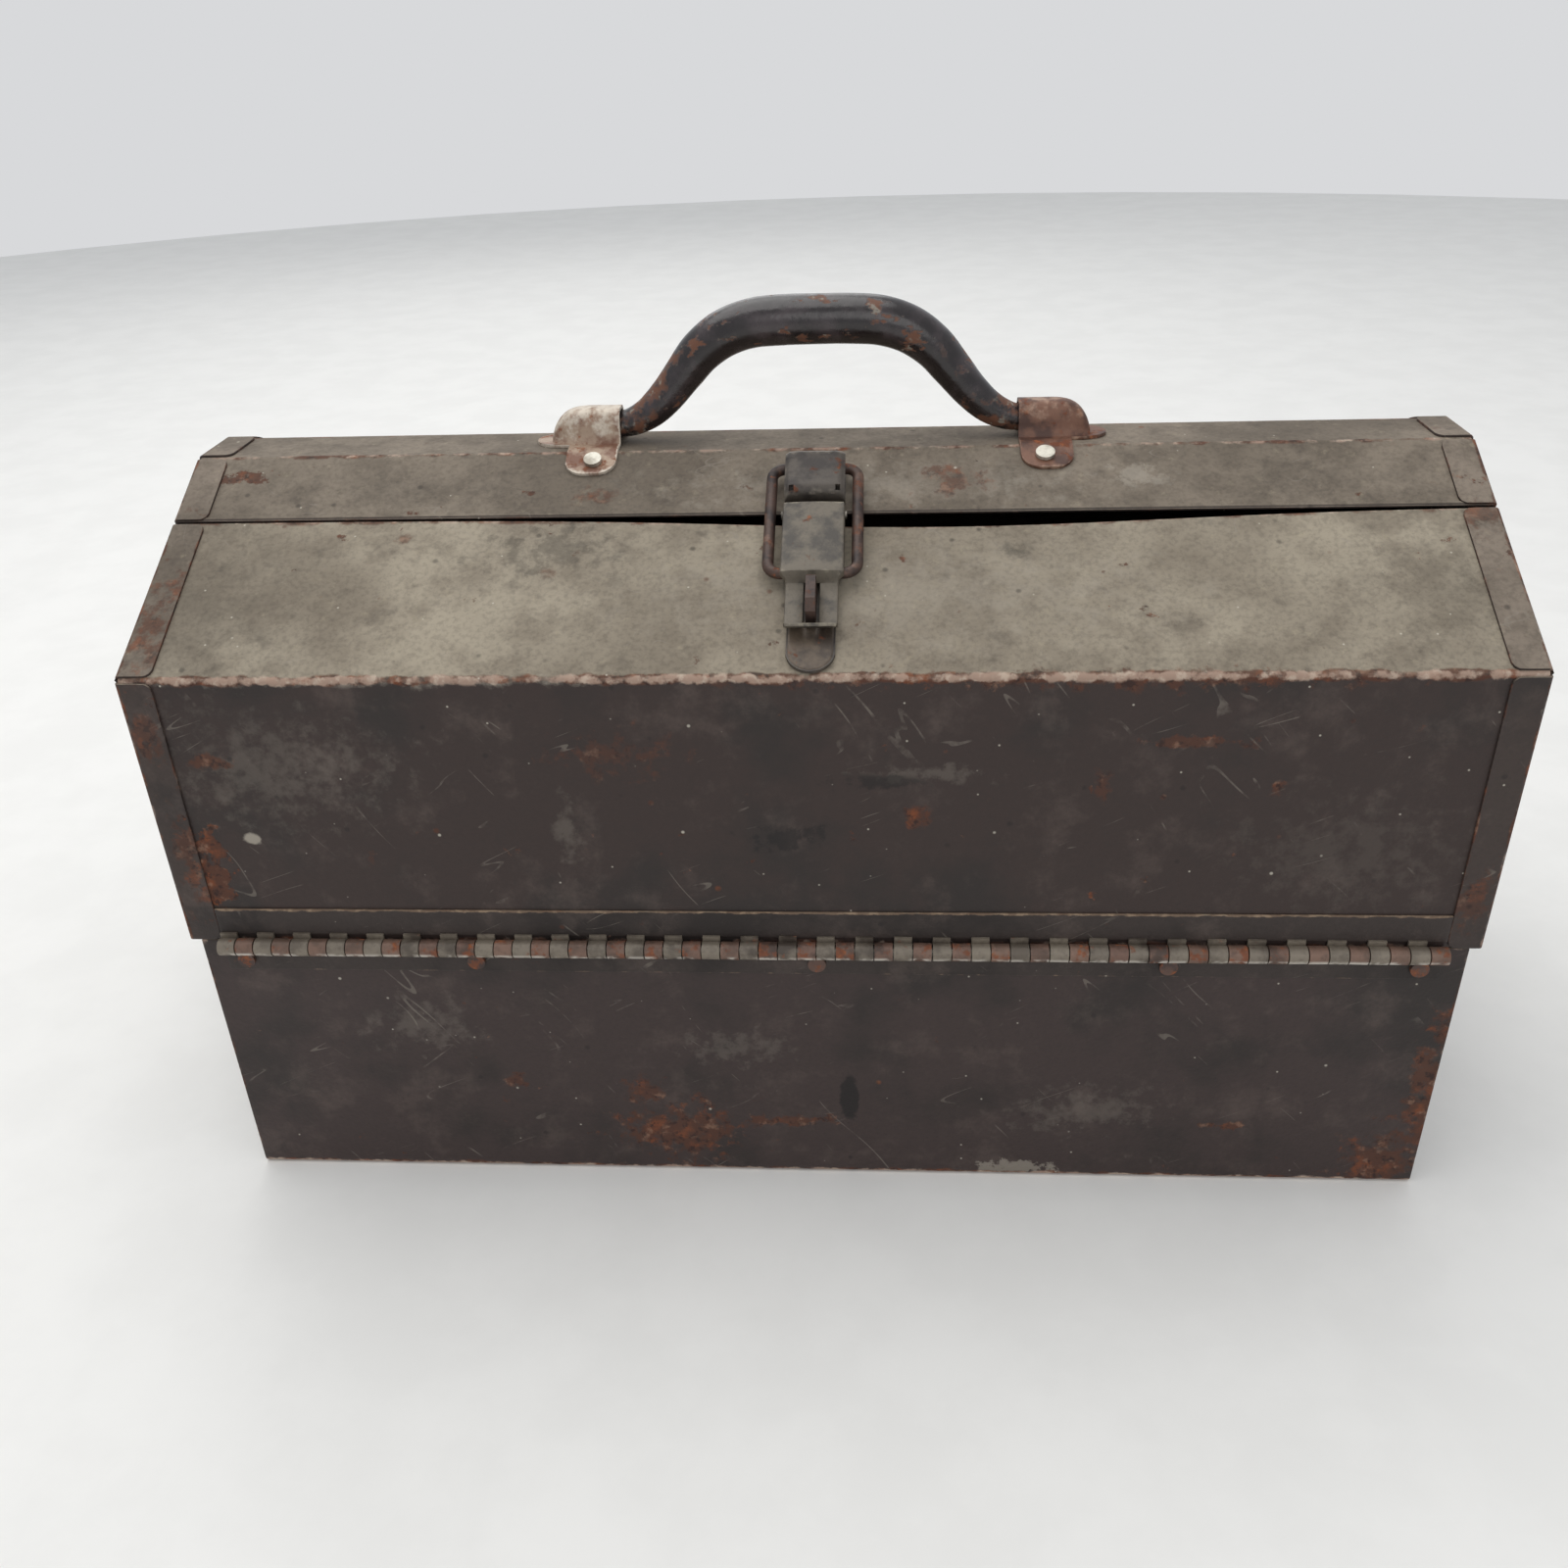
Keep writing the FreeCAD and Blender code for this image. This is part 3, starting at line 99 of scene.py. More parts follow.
def settle_mesh(piece: bpy.types.Object, soft_angle: float = 38.0) -> bpy.types.Object:
    """Apply a piece's modifiers and shade it smooth up to an angle.

    Args:
        piece: The object whose modifiers are applied.
        soft_angle: Edges sharper than this many degrees stay hard.

    Returns:
        The same object with a plain mesh.
    """
    graph = bpy.context.evaluated_depsgraph_get()
    solid = bpy.data.meshes.new_from_object(
        piece.evaluated_get(graph), preserve_all_data_layers=True, depsgraph=graph)
    piece.modifiers.clear()
    piece.data = solid
    solid.name = piece.name
    solid.shade_smooth()
    solid.set_sharp_from_angle(angle=math.radians(soft_angle))
    for face in solid.polygons:
        face.use_smooth = face.area < FLAT_AREA
    return piece


def give_metal(piece: bpy.types.Object, thickness: float, bevel: float = 0.25) -> bpy.types.Object:
    """Thicken an open sheet inwards and soften its cut edges.

    Args:
        piece: Open surface whose faces point outwards.
        thickness: Thickness of the metal in millimetres.
        bevel: Rounding of the cut edges in millimetres.

    Returns:
        The same object, finished.
    """
    wall = piece.modifiers.new("metal", "SOLIDIFY")
    wall.thickness = thickness * MM
    wall.offset = -1.0
    if bevel:
        soften(piece, bevel)
    return settle_mesh(piece)


def soften(piece: bpy.types.Object, width: float, segments: int = 2) -> bpy.types.Object:
    """Add a bevel modifier to every edge over 40 degrees.

    Args:
        piece: The object to soften.
        width: Bevel width in millimetres.
        segments: Faces across each bevel.

    Returns:
        The same object.
    """
    edge = piece.modifiers.new("edge", "BEVEL")
    edge.width = width * MM
    edge.segments = segments
    edge.limit_method = "ANGLE"
    edge.angle_limit = BEVEL_ANGLE
    return piece


@contextmanager
def editing(piece: bpy.types.Object) -> Iterator[bmesh.types.BMesh]:
    """Open a piece's mesh for editing and write it back at the end.

    Args:
        piece: The object whose mesh changes.

    Yields:
        The open mesh.
    """
    shape = bmesh.new()
    shape.from_mesh(piece.data)
    yield shape
    shape.to_mesh(piece.data)
    shape.free()


def weave(rows: Sequence[Sequence[Point]], ring: bool = False, caps: bool = False,
          flip: bool = False) -> Mesh:
    """Join rows of points into quads.

    Args:
        rows: Rows that all have the same number of points.
        ring: Whether each row closes on itself.
        caps: Whether the first and last rows are closed with one face.
        flip: Whether the faces turn the other way.

    Returns:
        Points and faces.
    """
    wide = len(rows[0])
    points = [point for row in rows for point in row]
    faces: list[tuple[int, ...]] = []
    for i in range(len(rows) - 1):
        for j in range(wide if ring else wide - 1):
            k = (j + 1) % wide
            faces.append((i * wide + j, i * wide + k, (i + 1) * wide + k, (i + 1) * wide + j))
    if caps:
        last = (len(rows) - 1) * wide
        faces.append(tuple(range(wide))[::-1])
        faces.append(tuple(range(last, last + wide)))
    return points, [face[::-1] for face in faces] if flip else faces


def spread(start: float, end: float, pitch: float,
           near: Sequence[float] = (1.2, 3.5)) -> list[float]:
    """Divide a length evenly, with extra places close to both ends.

    Args:
        start: First place.
        end: Last place.
        pitch: Longest step.
        near: Extra places, as distances from either end.

    Returns:
        Places in order.
    """
    count = max(1, math.ceil((end - start) / pitch))
    places = {start + (end - start) * step / count for step in range(count + 1)}
    for gap in near:
        if gap < (end - start) / 3:
            places |= {start + gap, end - gap}
    ordered = sorted(places)
    kept = [ordered[0]]
    for place in ordered[1:-1]:
        if place - kept[-1] > 0.45 and ordered[-1] - place > 0.45:
            kept.append(place)
    return kept + [ordered[-1]]


def fade(distance: float, reach: float) -> float:
    """Return 1 at an edge, falling smoothly with distance."""
    return math.exp(-((distance / reach) ** 2))


def ramp(value: float, start: float, width: float) -> float:
    """Return 0 below a start, rising evenly to 1 over a width."""
    return min(1.0, max(0.0, (value - start) / width))


@dataclass(frozen=True)
class FoldPath:
    """Cross-section of a bent sheet: straight runs joined by rounded folds.

    Attributes:
        corners: (y, z) of the ends and of each sharp fold.
        radius: Outside radius of the folds.
    """

    corners: tuple[Spot, ...]
    radius: float = 2.2

    def dense(self) -> tuple[list[Point], list[float]]:
        """Return a fine outline as (y, z, distance along it), and the distance of each fold."""
        spots = [Vector(self.corners[0])]
        folds = []
        for before, corner, after in zip(self.corners, self.corners[1:], self.corners[2:]):
            here = Vector(corner)
            into = (Vector(before) - here).normalized()
            out = (Vector(after) - here).normalized()
            half = into.angle(out) / 2
            cut = self.radius / math.tan(half)
            middle = here + (into + out).normalized() * (self.radius / math.sin(half))
            first = here + into * cut - middle
            last = here + out * cut - middle
            swing = first.angle_signed(last)
            folds.append(len(spots) + FOLD_STEPS // 2)
            for step in range(FOLD_STEPS + 1):
                turn = Matrix.Rotation(-swing * step / FOLD_STEPS, 2)
                spots.append(middle + turn @ first)
        spots.append(Vector(self.corners[-1]))
        runs = [0.0]
        for a, b in zip(spots, spots[1:]):
            runs.append(runs[-1] + (b - a).length)
        return [(s.x, s.y, r) for s, r in zip(spots, runs)], [runs[i] for i in folds]

    def stations(self, pitch: float) -> list[tuple[float, float, float]]:
        """Return (y, z, wear) down the section, closer together at folds and ends.

        Args:
            pitch: Longest step in millimetres.

        Returns:
            The stations in order.
        """
        fine, folds = self.dense()
        total = fine[-1][2]
        places = set(spread(0.0, total, pitch))
        for fold in folds:
            places |= {fold + gap for gap in (-6, -3.6, -2, -1.1, -0.4, 0.4, 1.1, 2, 3.6, 6)}
        ordered = sorted(place for place in places if 0 <= place <= total)
        kept = [ordered[0]]
        kept += [b for a, b in zip(ordered, ordered[1:]) if b - a > 0.25]
        rows = []
        for place in kept:
            index = next((i for i in range(1, len(fine)) if fine[i][2] >= place - 1e-6),
                         len(fine) - 1)
            a, b = fine[index - 1], fine[index]
            share = (place - a[2]) / max(b[2] - a[2], 1e-9)
            wear = max([fade(place - fold, 2.6) for fold in folds] + [
                0.75 * fade(place, 2.0), 0.75 * fade(total - place, 2.0)])
            rows.append((a[0] + (b[0] - a[0]) * share, a[1] + (b[1] - a[1]) * share, wear))
        return rows


def sweep_sheet(name: str, path: FoldPath, half: float, thickness: float, warp: Warp,
                pitch: float = 5.0) -> bpy.types.Object:
    """Sweep a bent section along X, dent it and give it its thickness.

    Args:
        name: Name of the piece.
        path: Section, drawn so that X crossed with its direction points outwards.
        half: Half of the length along X.
        thickness: Sheet thickness.
        warp: Moves each point to where use has pushed it.
        pitch: Longest step of the grid.

    Returns:
        The finished sheet.
    """
    across = spread(-half, half, pitch)
    rows = []
    wear = []
    for y, z, worn in path.stations(pitch):
        rows.append([tuple(warp(Vector((x, y, z)))) for x in across])
        wear += [max(worn, 0.6 * fade(half - abs(x), 1.6)) for x in across]
    points, faces = weave(rows)
    return give_metal(make_piece(name, points, faces, wear), thickness)


def tube(path: Sequence[Vector], radii: Sequence[float], normal: Vector, sides: int,
         crease: float = 0.0) -> Mesh:
    """Sweep a round bar along a flat path.

    Args:
        path: Centre line.
        radii: Radius at each point of the path.
        normal: Direction square to the plane of the path.
        sides: Faces round the bar.
        crease: Depth of a seam along the inner side.

    Returns:
        Points and faces of the closed bar.
    """
    rows = []
    for index, centre in enumerate(path):
        ahead = path[min(index + 1, len(path) - 1)] - path[max(index - 1, 0)]
        side = ahead.normalized().cross(normal).normalized()
        row = []
        for step in range(sides):
            angle = math.tau * step / sides
            inward = math.remainder(angle - math.pi * 0.25, math.tau)
            radius = radii[index] - crease * math.exp(-((inward / 0.16) ** 2))
            way = side * math.cos(angle) + normal * math.sin(angle)
            row.append(tuple(centre + way * radius))
        rows.append(row)
    return weave(rows, ring=True, caps=True)


# --------------------------------------------------------------------------
# Shader effects
# --------------------------------------------------------------------------
def paint(code: str) -> tuple[float, float, float, float]:
    """Turn an sRGB hex code into a linear colour."""
    parts = [int(code[i:i + 2], 16) / 255 for i in (1, 3, 5)]
    red, green, blue = (c / 12.92 if c <= 0.04045 else ((c + 0.055) / 1.055) ** 2.4 for c in parts)
    return red, green, blue, 1.0


def add_node(tree: bpy.types.NodeTree, kind: str, inputs: dict | None = None,
             **settings: object) -> bpy.types.Node:
    """Add a node with its settings, its input values and its links.

    Args:
        tree: Tree that gets the node.
        kind: Type name of the node.
        inputs: Value, or the socket to link from, for each input name or index.
        **settings: Properties of the node.

    Returns:
        The new node.
    """
    node = tree.nodes.new(kind)
    for name, value in settings.items():
        setattr(node, name, value)
    for key, value in (inputs or {}).items():
        if isinstance(value, bpy.types.NodeSocket):
            tree.links.new(value, node.inputs[key])
        else:
            node.inputs[key].default_value = value
    return node


class MarkKind(Enum):
    """What one local mark on the enamel is."""

    RUST = "rust"
    DARK = "dark"
    PALE = "pale"


@dataclass(frozen=True)
class Mark:
    """One local mark on the paint. Most are worn or stained places; a few broad ones
    make an area darker or paler, and two pale ones are a painted sheen and a painted highlight.

    Attributes:
        centre: Middle of the mark in millimetres.
        half: Half of its size along X, Y and Z.
        kind: What the mark is.
        ragged: How broken its outline is.
        soft: How wide its edge is, as a share of its size.
        strength: How strongly it shows.
    """

    centre: Point
    half: Point
    kind: MarkKind
    ragged: float = 0.9
    soft: float = 0.28
    strength: float = 1.0


class Weathering:
    """Age effects for one material, read from object coordinates in millimetres."""

    def __init__(self, tree: bpy.types.NodeTree) -> None:
        """Add the coordinates that every effect shares.

        Args:
            tree: Shader tree of the material.
        """
        self.tree = tree
        coords = add_node(tree, "ShaderNodeTexCoord")
        self.place = add_node(tree, "ShaderNodeVectorMath",
                              {0: coords.outputs["Object"], "Scale": 1000.0},
                              operation="SCALE").outputs[0]
        self.normal = add_node(tree, "ShaderNodeSeparateXYZ", {0: coords.outputs["Normal"]})
        self.wear = add_node(tree, "ShaderNodeAttribute", attribute_name="wear").outputs["Fac"]

    def patches(self, size: float, low: float, high: float, shift: float = 0.0,
                detail: float = 5.0,
                stretch: Point = (1.0, 1.0, 1.0), rough: float = 0.6) -> bpy.types.NodeSocket:
        """Cloudy patches, 0 outside and 1 inside.

        Args:
            size: Size of a patch in millimetres.
            low: Cloud value at which a patch starts.
            high: Cloud value at which it is full.
            shift: Offset that picks another part of the cloud.
            detail: Octaves of the cloud.
            stretch: How much finer the cloud is along each axis.
            rough: How strong the fine octaves are.

        Returns:
            The mask.
        """
        moved = add_node(self.tree, "ShaderNodeMapping", {
            "Vector": self.place, "Location": (shift, shift * 0.7, -shift),
            "Scale": tuple(value / size for value in stretch)})
        cloud = add_node(self.tree, "ShaderNodeTexNoise", {
            "Vector": moved.outputs[0], "Scale": 1.0, "Detail": detail, "Roughness": rough})
        return add_node(self.tree, "ShaderNodeMapRange", {
            "Value": cloud.outputs["Fac"], "From Min": low, "From Max": high},
            interpolation_type="SMOOTHSTEP").outputs[0]

    def specks(self, size: float, reach: float, share: float,
               shift: float = 0.0) -> bpy.types.NodeSocket:
        """Scattered small spots.

        Args:
            size: Spacing of the spots in millimetres.
            reach: Radius of a spot as a share of the spacing.
            share: Share of the places that carry a spot.
            shift: Offset that picks other spots.

        Returns:
            The mask.
        """
        moved = add_node(self.tree, "ShaderNodeMapping", {
            "Vector": self.place, "Location": (shift,) * 3, "Scale": (1 / size,) * 3})
        cells = add_node(self.tree, "ShaderNodeTexVoronoi",
                         {"Vector": moved.outputs[0], "Scale": 1.0})
        chance = add_node(self.tree, "ShaderNodeSeparateColor", {0: cells.outputs["Color"]})
        picked = add_node(self.tree, "ShaderNodeMath", {0: chance.outputs[0], 1: share},
                          operation="LESS_THAN")
        near = add_node(self.tree, "ShaderNodeMapRange", {
            "Value": cells.outputs["Distance"], "From Min": reach, "From Max": reach * 0.45})
        return self.both(near.outputs[0], picked.outputs[0])

    def scratches(self, turn: Point, spacing: float, shift: float = 0.0) -> bpy.types.NodeSocket:
        """Thin broken lines that run roughly one way.

        Args:
            turn: Rotation of the lines in degrees.
            spacing: Distance between lines in millimetres.
            shift: Offset that picks other lines.

        Returns:
            The mask.
        """
        turned = add_node(self.tree, "ShaderNodeMapping", {
            "Vector": self.place, "Rotation": tuple(math.radians(angle) for angle in turn)})
        moved = add_node(self.tree, "ShaderNodeMapping", {
            "Vector": turned.outputs[0], "Location": (shift,) * 3,
            "Scale": (0.12 / spacing, 1 / spacing, 1 / spacing)})
        cloud = add_node(self.tree, "ShaderNodeTexNoise", {
            "Vector": moved.outputs[0], "Scale": 1.0, "Detail": 1.0})
        off = add_node(self.tree, "ShaderNodeMath", {0: cloud.outputs["Fac"], 1: 0.5, 2: 0.006},
                       operation="COMPARE")
        return self.both(off.outputs[0], self.patches(26, 0.56, 0.66, shift + 3))

    def mark(self, mark: Mark) -> bpy.types.NodeSocket:
        """A ragged blot round one place.

        Args:
            mark: The place, size and raggedness.

        Returns:
            The mask.
        """
        scale = tuple(1 / half for half in mark.half)
        moved = add_node(self.tree, "ShaderNodeMapping", {
            "Vector": self.place, "Scale": scale,
            "Location": tuple(-c * s for c, s in zip(mark.centre, scale))})
        cloud = add_node(self.tree, "ShaderNodeTexNoise", {
            "Vector": self.place, "Scale": 1 / 7, "Detail": 5.0, "Roughness": 0.68})
        length = add_node(self.tree, "ShaderNodeVectorMath", {0: moved.outputs[0]},
                          operation="LENGTH")
        torn = add_node(self.tree, "ShaderNodeMath", {
            0: cloud.outputs["Fac"], 1: -3.2 * mark.ragged, 2: 1.6 * mark.ragged},
                        operation="MULTIPLY_ADD")
        total = add_node(self.tree, "ShaderNodeMath",
                         {0: length.outputs["Value"], 1: torn.outputs[0]})
        return add_node(self.tree, "ShaderNodeMapRange", {
            "Value": total.outputs[0], "From Min": 1.0, "From Max": 1.0 - mark.soft,
            "To Max": mark.strength}, interpolation_type="SMOOTHSTEP").outputs[0]

    def both(self, first: bpy.types.NodeSocket, second: object) -> bpy.types.NodeSocket:
        """Return the part that two masks share."""
        return add_node(self.tree, "ShaderNodeMath", {0: first, 1: second},
                        operation="MULTIPLY").outputs[0]

    def either(self, masks: Sequence[bpy.types.NodeSocket]) -> bpy.types.NodeSocket:
        """Return the stronger of several masks."""
        total = masks[0]
        for mask in masks[1:]:
            total = add_node(self.tree, "ShaderNodeMath", {0: total, 1: mask},
                             operation="MAXIMUM").outputs[0]
        return total

    def tint(self, base: object, colour: object, mask: object) -> bpy.types.NodeSocket:
        """Lay a colour over another where a mask is high.

        Args:
            base: Colour or socket below.
            colour: Colour or socket on top.
            mask: How much of it shows.

        Returns:
            The mixed colour.
        """
        return add_node(self.tree, "ShaderNodeMix", {0: mask, 6: base, 7: colour},
                        data_type="RGBA").outputs[2]

    def blend(self, base: object, value: float, mask: object) -> bpy.types.NodeSocket:
        """Move a number towards another where a mask is high."""
        return add_node(self.tree, "ShaderNodeMix", {0: mask, 2: base, 3: value}).outputs[0]

    def finish(self, shader: bpy.types.Node, colour: object, rough: object, raised: object,
               grain: Point, relief: Point) -> None:
        """Connect the colour, the roughness and a fine relief to the surface.

        Args:
            shader: Surface shader of the material.
            colour: Its colour.
            rough: Its roughness.
            raised: Mask of what stands up from the surface, or lies below it.
            grain: Size in millimetres, octaves and roughness of the relief's cloud.
            relief: Height of the mask, strength of the relief and its depth in metres.
        """
        size, detail, broken = grain
        height, strength, depth = relief
        cloud = add_node(self.tree, "ShaderNodeTexNoise", {
            "Vector": self.place, "Scale": 1 / size, "Detail": detail, "Roughness": broken})
        lifted = add_node(self.tree, "ShaderNodeMath", {
            0: raised, 1: height, 2: cloud.outputs["Fac"]}, operation="MULTIPLY_ADD")
        bump = add_node(self.tree, "ShaderNodeBump", {
            "Strength": strength, "Distance": depth, "Height": lifted.outputs[0]})
        for name, socket in (
                ("Base Color", colour), ("Roughness", rough), ("Normal", bump.outputs[0])):
            self.tree.links.new(socket, shader.inputs[name])

    def worn_edge(self, low: float, high: float, size: float,
                  shift: float) -> bpy.types.NodeSocket:
        """Edges and folds where the finish has gone, broken up by a cloud.

        Args:
            low: Wear at which the metal starts to show.
            high: Wear at which it shows fully.
            size: Size of the breaks in millimetres.
            shift: Offset that picks another cloud.

        Returns:
            The mask.
        """
        broken = self.patches(size, 0.3, 0.7, shift, 4.0)
        spread_wear = add_node(self.tree, "ShaderNodeMath", {0: broken, 1: 0.55, 2: self.wear},
                               operation="MULTIPLY_ADD")
        eased = add_node(self.tree, "ShaderNodeMapRange", {
            "Value": spread_wear.outputs[0], "From Min": low, "From Max": high},
            interpolation_type="SMOOTHSTEP").outputs[0]
        some = add_node(self.tree, "ShaderNodeMath", {0: self.wear, 1: 0.05},
                        operation="GREATER_THAN")
        return self.both(eased, some.outputs[0])


def start_material(name: str) -> tuple[bpy.types.Material, bpy.types.NodeTree, bpy.types.Node]:
    """Make an empty node material.

    Args:
        name: Name of the finish.

    Returns:
        The material, its tree and its surface shader.
    """
    material = bpy.data.materials.new(name)
    material.use_nodes = True
    tree = material.node_tree
    tree.nodes.clear()
    shader = add_node(tree, "ShaderNodeBsdfPrincipled")
    add_node(tree, "ShaderNodeOutputMaterial", {"Surface": shader.outputs[0]})
    return material, tree, shader


@dataclass(frozen=True)
class BakedEnamel:
    """Baked brown enamel on steel sheet: fine pebbled coat, dusty where it faces up.

    It is semi-matt, the dust hides its gloss, and rust shows through at folds,
    knocks and the places where damp has stood.

    Attributes:
        name: Name of the material.
        coat: Main colour of the enamel.
        deep: Colour of its darker stains.
        haze: Colour of the pale rubbed clouds.
        dust: Colour of the settled dust on slopes.
        dust_deep: Colour of the stained dust.
        dust_share: How much dust lies on faces that look up.
        rust_low: Cloud value at which free rust starts; higher means less rust.
        edge_low: Wear at which rust shows on the edges.
        bare_low: Wear at which bare metal shows on them.
        rough: Roughness of the clean coat.
        marks: Local marks.
        marks_depth: Colour of the dark marks.
        bare: Colour of the bare metal on edges.
        bare_light: Colour of its lighter places.
    """

    name: str
    coat: str = "#453b37"
    deep: str = "#2e2826"
    haze: str = "#5f524c"
    dust: str = "#a39987"
    dust_deep: str = "#756b5d"
    dust_share: float = 0.92
    rust_low: float = 0.66
    edge_low: float = 0.82
    bare_low: float = 0.98
    rough: float = 0.5
    marks: tuple[Mark, ...] = ()
    marks_depth: str = "#1b1818"
    bare: str = "#a89080"
    bare_light: str = "#c0ad9c"

    def build(self) -> bpy.types.Material:
        """Build the material with all of its layers."""
        material, tree, shader = start_material(self.name)
        age = Weathering(tree)
        colour = age.tint(paint(self.coat), paint(self.deep), age.patches(52, 0.47, 0.66, 2.0))
        colour = age.tint(colour, paint(self.haze), age.both(
            age.patches(24, 0.5, 0.72, 5.0, 7.0, rough=0.68), 0.42))
        rising = add_node(tree, "ShaderNodeMapRange", {
            "Value": age.normal.outputs["Z"], "From Min": 0.35, "From Max": 0.8}).outputs[0]
        settled = age.tint(paint(self.dust), paint(self.dust_deep), age.both(
            age.patches(85, 0.35, 0.68, 8.0, 3.0), 0.75))
        settled = age.tint(settled, paint(self.dust_deep), age.both(
            age.patches(17, 0.42, 0.66, 9.0, 7.0, rough=0.66), 0.6))
        settled = age.tint(settled, paint(self.deep),
                           age.both(age.patches(11, 0.55, 0.75, 11.0, 6.0), 0.35))
        settled = age.tint(settled, paint("#b0a58c"),
                           age.both(age.patches(4.5, 0.58, 0.76, 12.0, 6.0), 0.3))
        dusty = age.both(rising, self.dust_share)
        colour = age.tint(colour, settled, dusty)
        grain = age.patches(1.7, 0.42, 0.68, 1.0, 3.0)
        colour = age.tint(colour, paint(self.deep), age.both(grain, 0.22))
        lines = age.either([age.scratches((0, 24, 0), 9.0), age.scratches((8, -52, 0), 13.0, 5.0)])
        colour = age.tint(colour, paint("#8c8479"), age.both(lines, 0.35))
        # Pale marks: rubbed haze, plus a painted sheen on the cover wall and a painted highlight
        # along the fold.
        pale = [age.mark(mark) for mark in self.marks if mark.kind is MarkKind.PALE]
        if pale:
            colour = age.tint(colour, paint("#a1998c"), age.either(pale))
        dark = [age.mark(mark) for mark in self.marks if mark.kind is MarkKind.DARK]
        if dark:
            colour = age.tint(colour, paint(self.marks_depth), age.both(age.either(dark), 0.85))
        blooms = age.both(age.patches(9, self.rust_low, self.rust_low + 0.05, 17.0, 6.0,
                                      rough=0.62),
                          age.patches(70, 0.46, 0.56, 21.0, 2.0))
        edges = age.worn_edge(self.edge_low, self.edge_low + 0.35, 11.0, 25.0)
        dots = age.both(age.specks(19, 0.075, 0.35, 13.0), 0.8)
        rusty = [blooms, edges, dots] + [age.mark(mark) for mark in self.marks
                                         if mark.kind is MarkKind.RUST]
        rust = age.either(rusty)
        oxide = age.tint(paint("#57392d"), paint("#7a462d"), age.patches(7, 0.5, 0.68, 31.0, 5.0))
        oxide = age.tint(oxide, paint("#3a2823"), age.patches(3.2, 0.52, 0.64, 37.0, 4.0))
        oxide = age.tint(oxide, paint("#94725e"),
                         age.both(age.patches(5, 0.54, 0.68, 47.0, 5.0), 0.65))
        colour = age.tint(colour, oxide, age.both(rust, 0.86))
        bare = age.worn_edge(self.bare_low - 0.06, self.bare_low + 0.34, 5.5, 41.0)
        metal = age.tint(paint(self.bare), paint(self.bare_light),
                         age.patches(5, 0.48, 0.62, 43.0, 4.0))
        colour = age.tint(colour, metal, age.both(bare, 0.8))
        white = age.either([age.specks(15, 0.05, 0.4, 3.0), age.specks(6, 0.08, 0.25, 6.0)])
        colour = age.tint(colour, paint("#c9c3b4"), age.both(white, 0.6))
        soot = age.specks(11, 0.12, 0.3, 9.0)
        colour = age.tint(colour, paint(self.marks_depth), age.both(soot, 0.5))
        rough = age.blend(self.rough, 0.78, dusty)
        rough = age.blend(rough, 0.9, rust)
        age.finish(shader, colour, rough, rust, (1.5, 3.0, 0.55), (0.9, 0.55, 0.00028))
        shader.inputs["Specular IOR Level"].default_value = 0.3
        return material


@dataclass(frozen=True)
class WornPlate:
    """Pressed steel fitting whose plating has worn and rusted.

    The plate is dull and grimy in its corners, rubbed pale on its high places
    and brown with rust where the plating has gone. With glint set, faces that look
    down also get a painted highlight.

    Attributes:
        name: Name of the material.
        plate: Colour of the plating.
        grime: Colour of the dirt on it.
        rubbed: Colour of the rubbed high places.
        rust: Colour of the rust.
        rust_low: Cloud value at which rust starts.
        rubbed_low: Wear at which the metal is rubbed bright.
        metal: How metallic it looks.
        rough: Roughness of the plate.
        glint: Strength of the painted highlight on faces that look down.
    """

    name: str
    plate: str
    grime: str
    rubbed: str
    rust: str = "#6b3f2b"
    rust_low: float = 0.56
    rubbed_low: float = 0.7
    metal: float = 0.25
    rough: float = 0.5
    glint: float = 0.0

    def build(self) -> bpy.types.Material:
        """Build the material with all of its layers."""
        material, tree, shader = start_material(self.name)
        age = Weathering(tree)
        tone = add_node(tree, "ShaderNodeAttribute", attribute_name="tone").outputs["Fac"]
        colour = age.tint(paint(self.plate), paint(self.grime),
                          age.patches(11, 0.44, 0.62, 2.0, 6.0))
        colour = age.tint(colour, paint(self.rubbed), age.both(tone, 0.5))
        rust = age.patches(6, self.rust_low, self.rust_low + 0.1, 14.0, 6.0, rough=0.64)
        oxide = age.tint(paint(self.rust), paint("#9a5a34"),
                         age.patches(2.6, 0.5, 0.68, 31.0, 4.0))
        colour = age.tint(colour, oxide, age.both(rust, 0.85))
        bright = age.worn_edge(self.rubbed_low, self.rubbed_low + 0.45, 5.0, 41.0)
        colour = age.tint(colour, paint(self.rubbed), age.both(bright, 0.85))
        colour = age.tint(colour, paint(self.grime),
                          age.both(age.patches(1.6, 0.5, 0.7, 4.0, 3.0), 0.3))
        # Painted highlight: pale patches on faces that look down, standing in for light caught by
        # the undersides.
        painted_glint = add_node(tree, "ShaderNodeMapRange", {
            "Value": age.normal.outputs["Z"], "From Min": -0.12, "From Max": -0.42,
            "To Max": self.glint}).outputs[0]
        colour = age.tint(colour, paint("#c9c2b8"),
                          age.both(painted_glint, age.patches(7, 0.42, 0.56, 51.0, 3.0)))
        rough = age.blend(self.rough, 0.88, rust)
        age.finish(shader, colour, rough, rust, (1.1, 4.0, 0.6), (0.8, 0.6, 0.0002))
        shader.inputs["Metallic"].default_value = self.metal
        return material


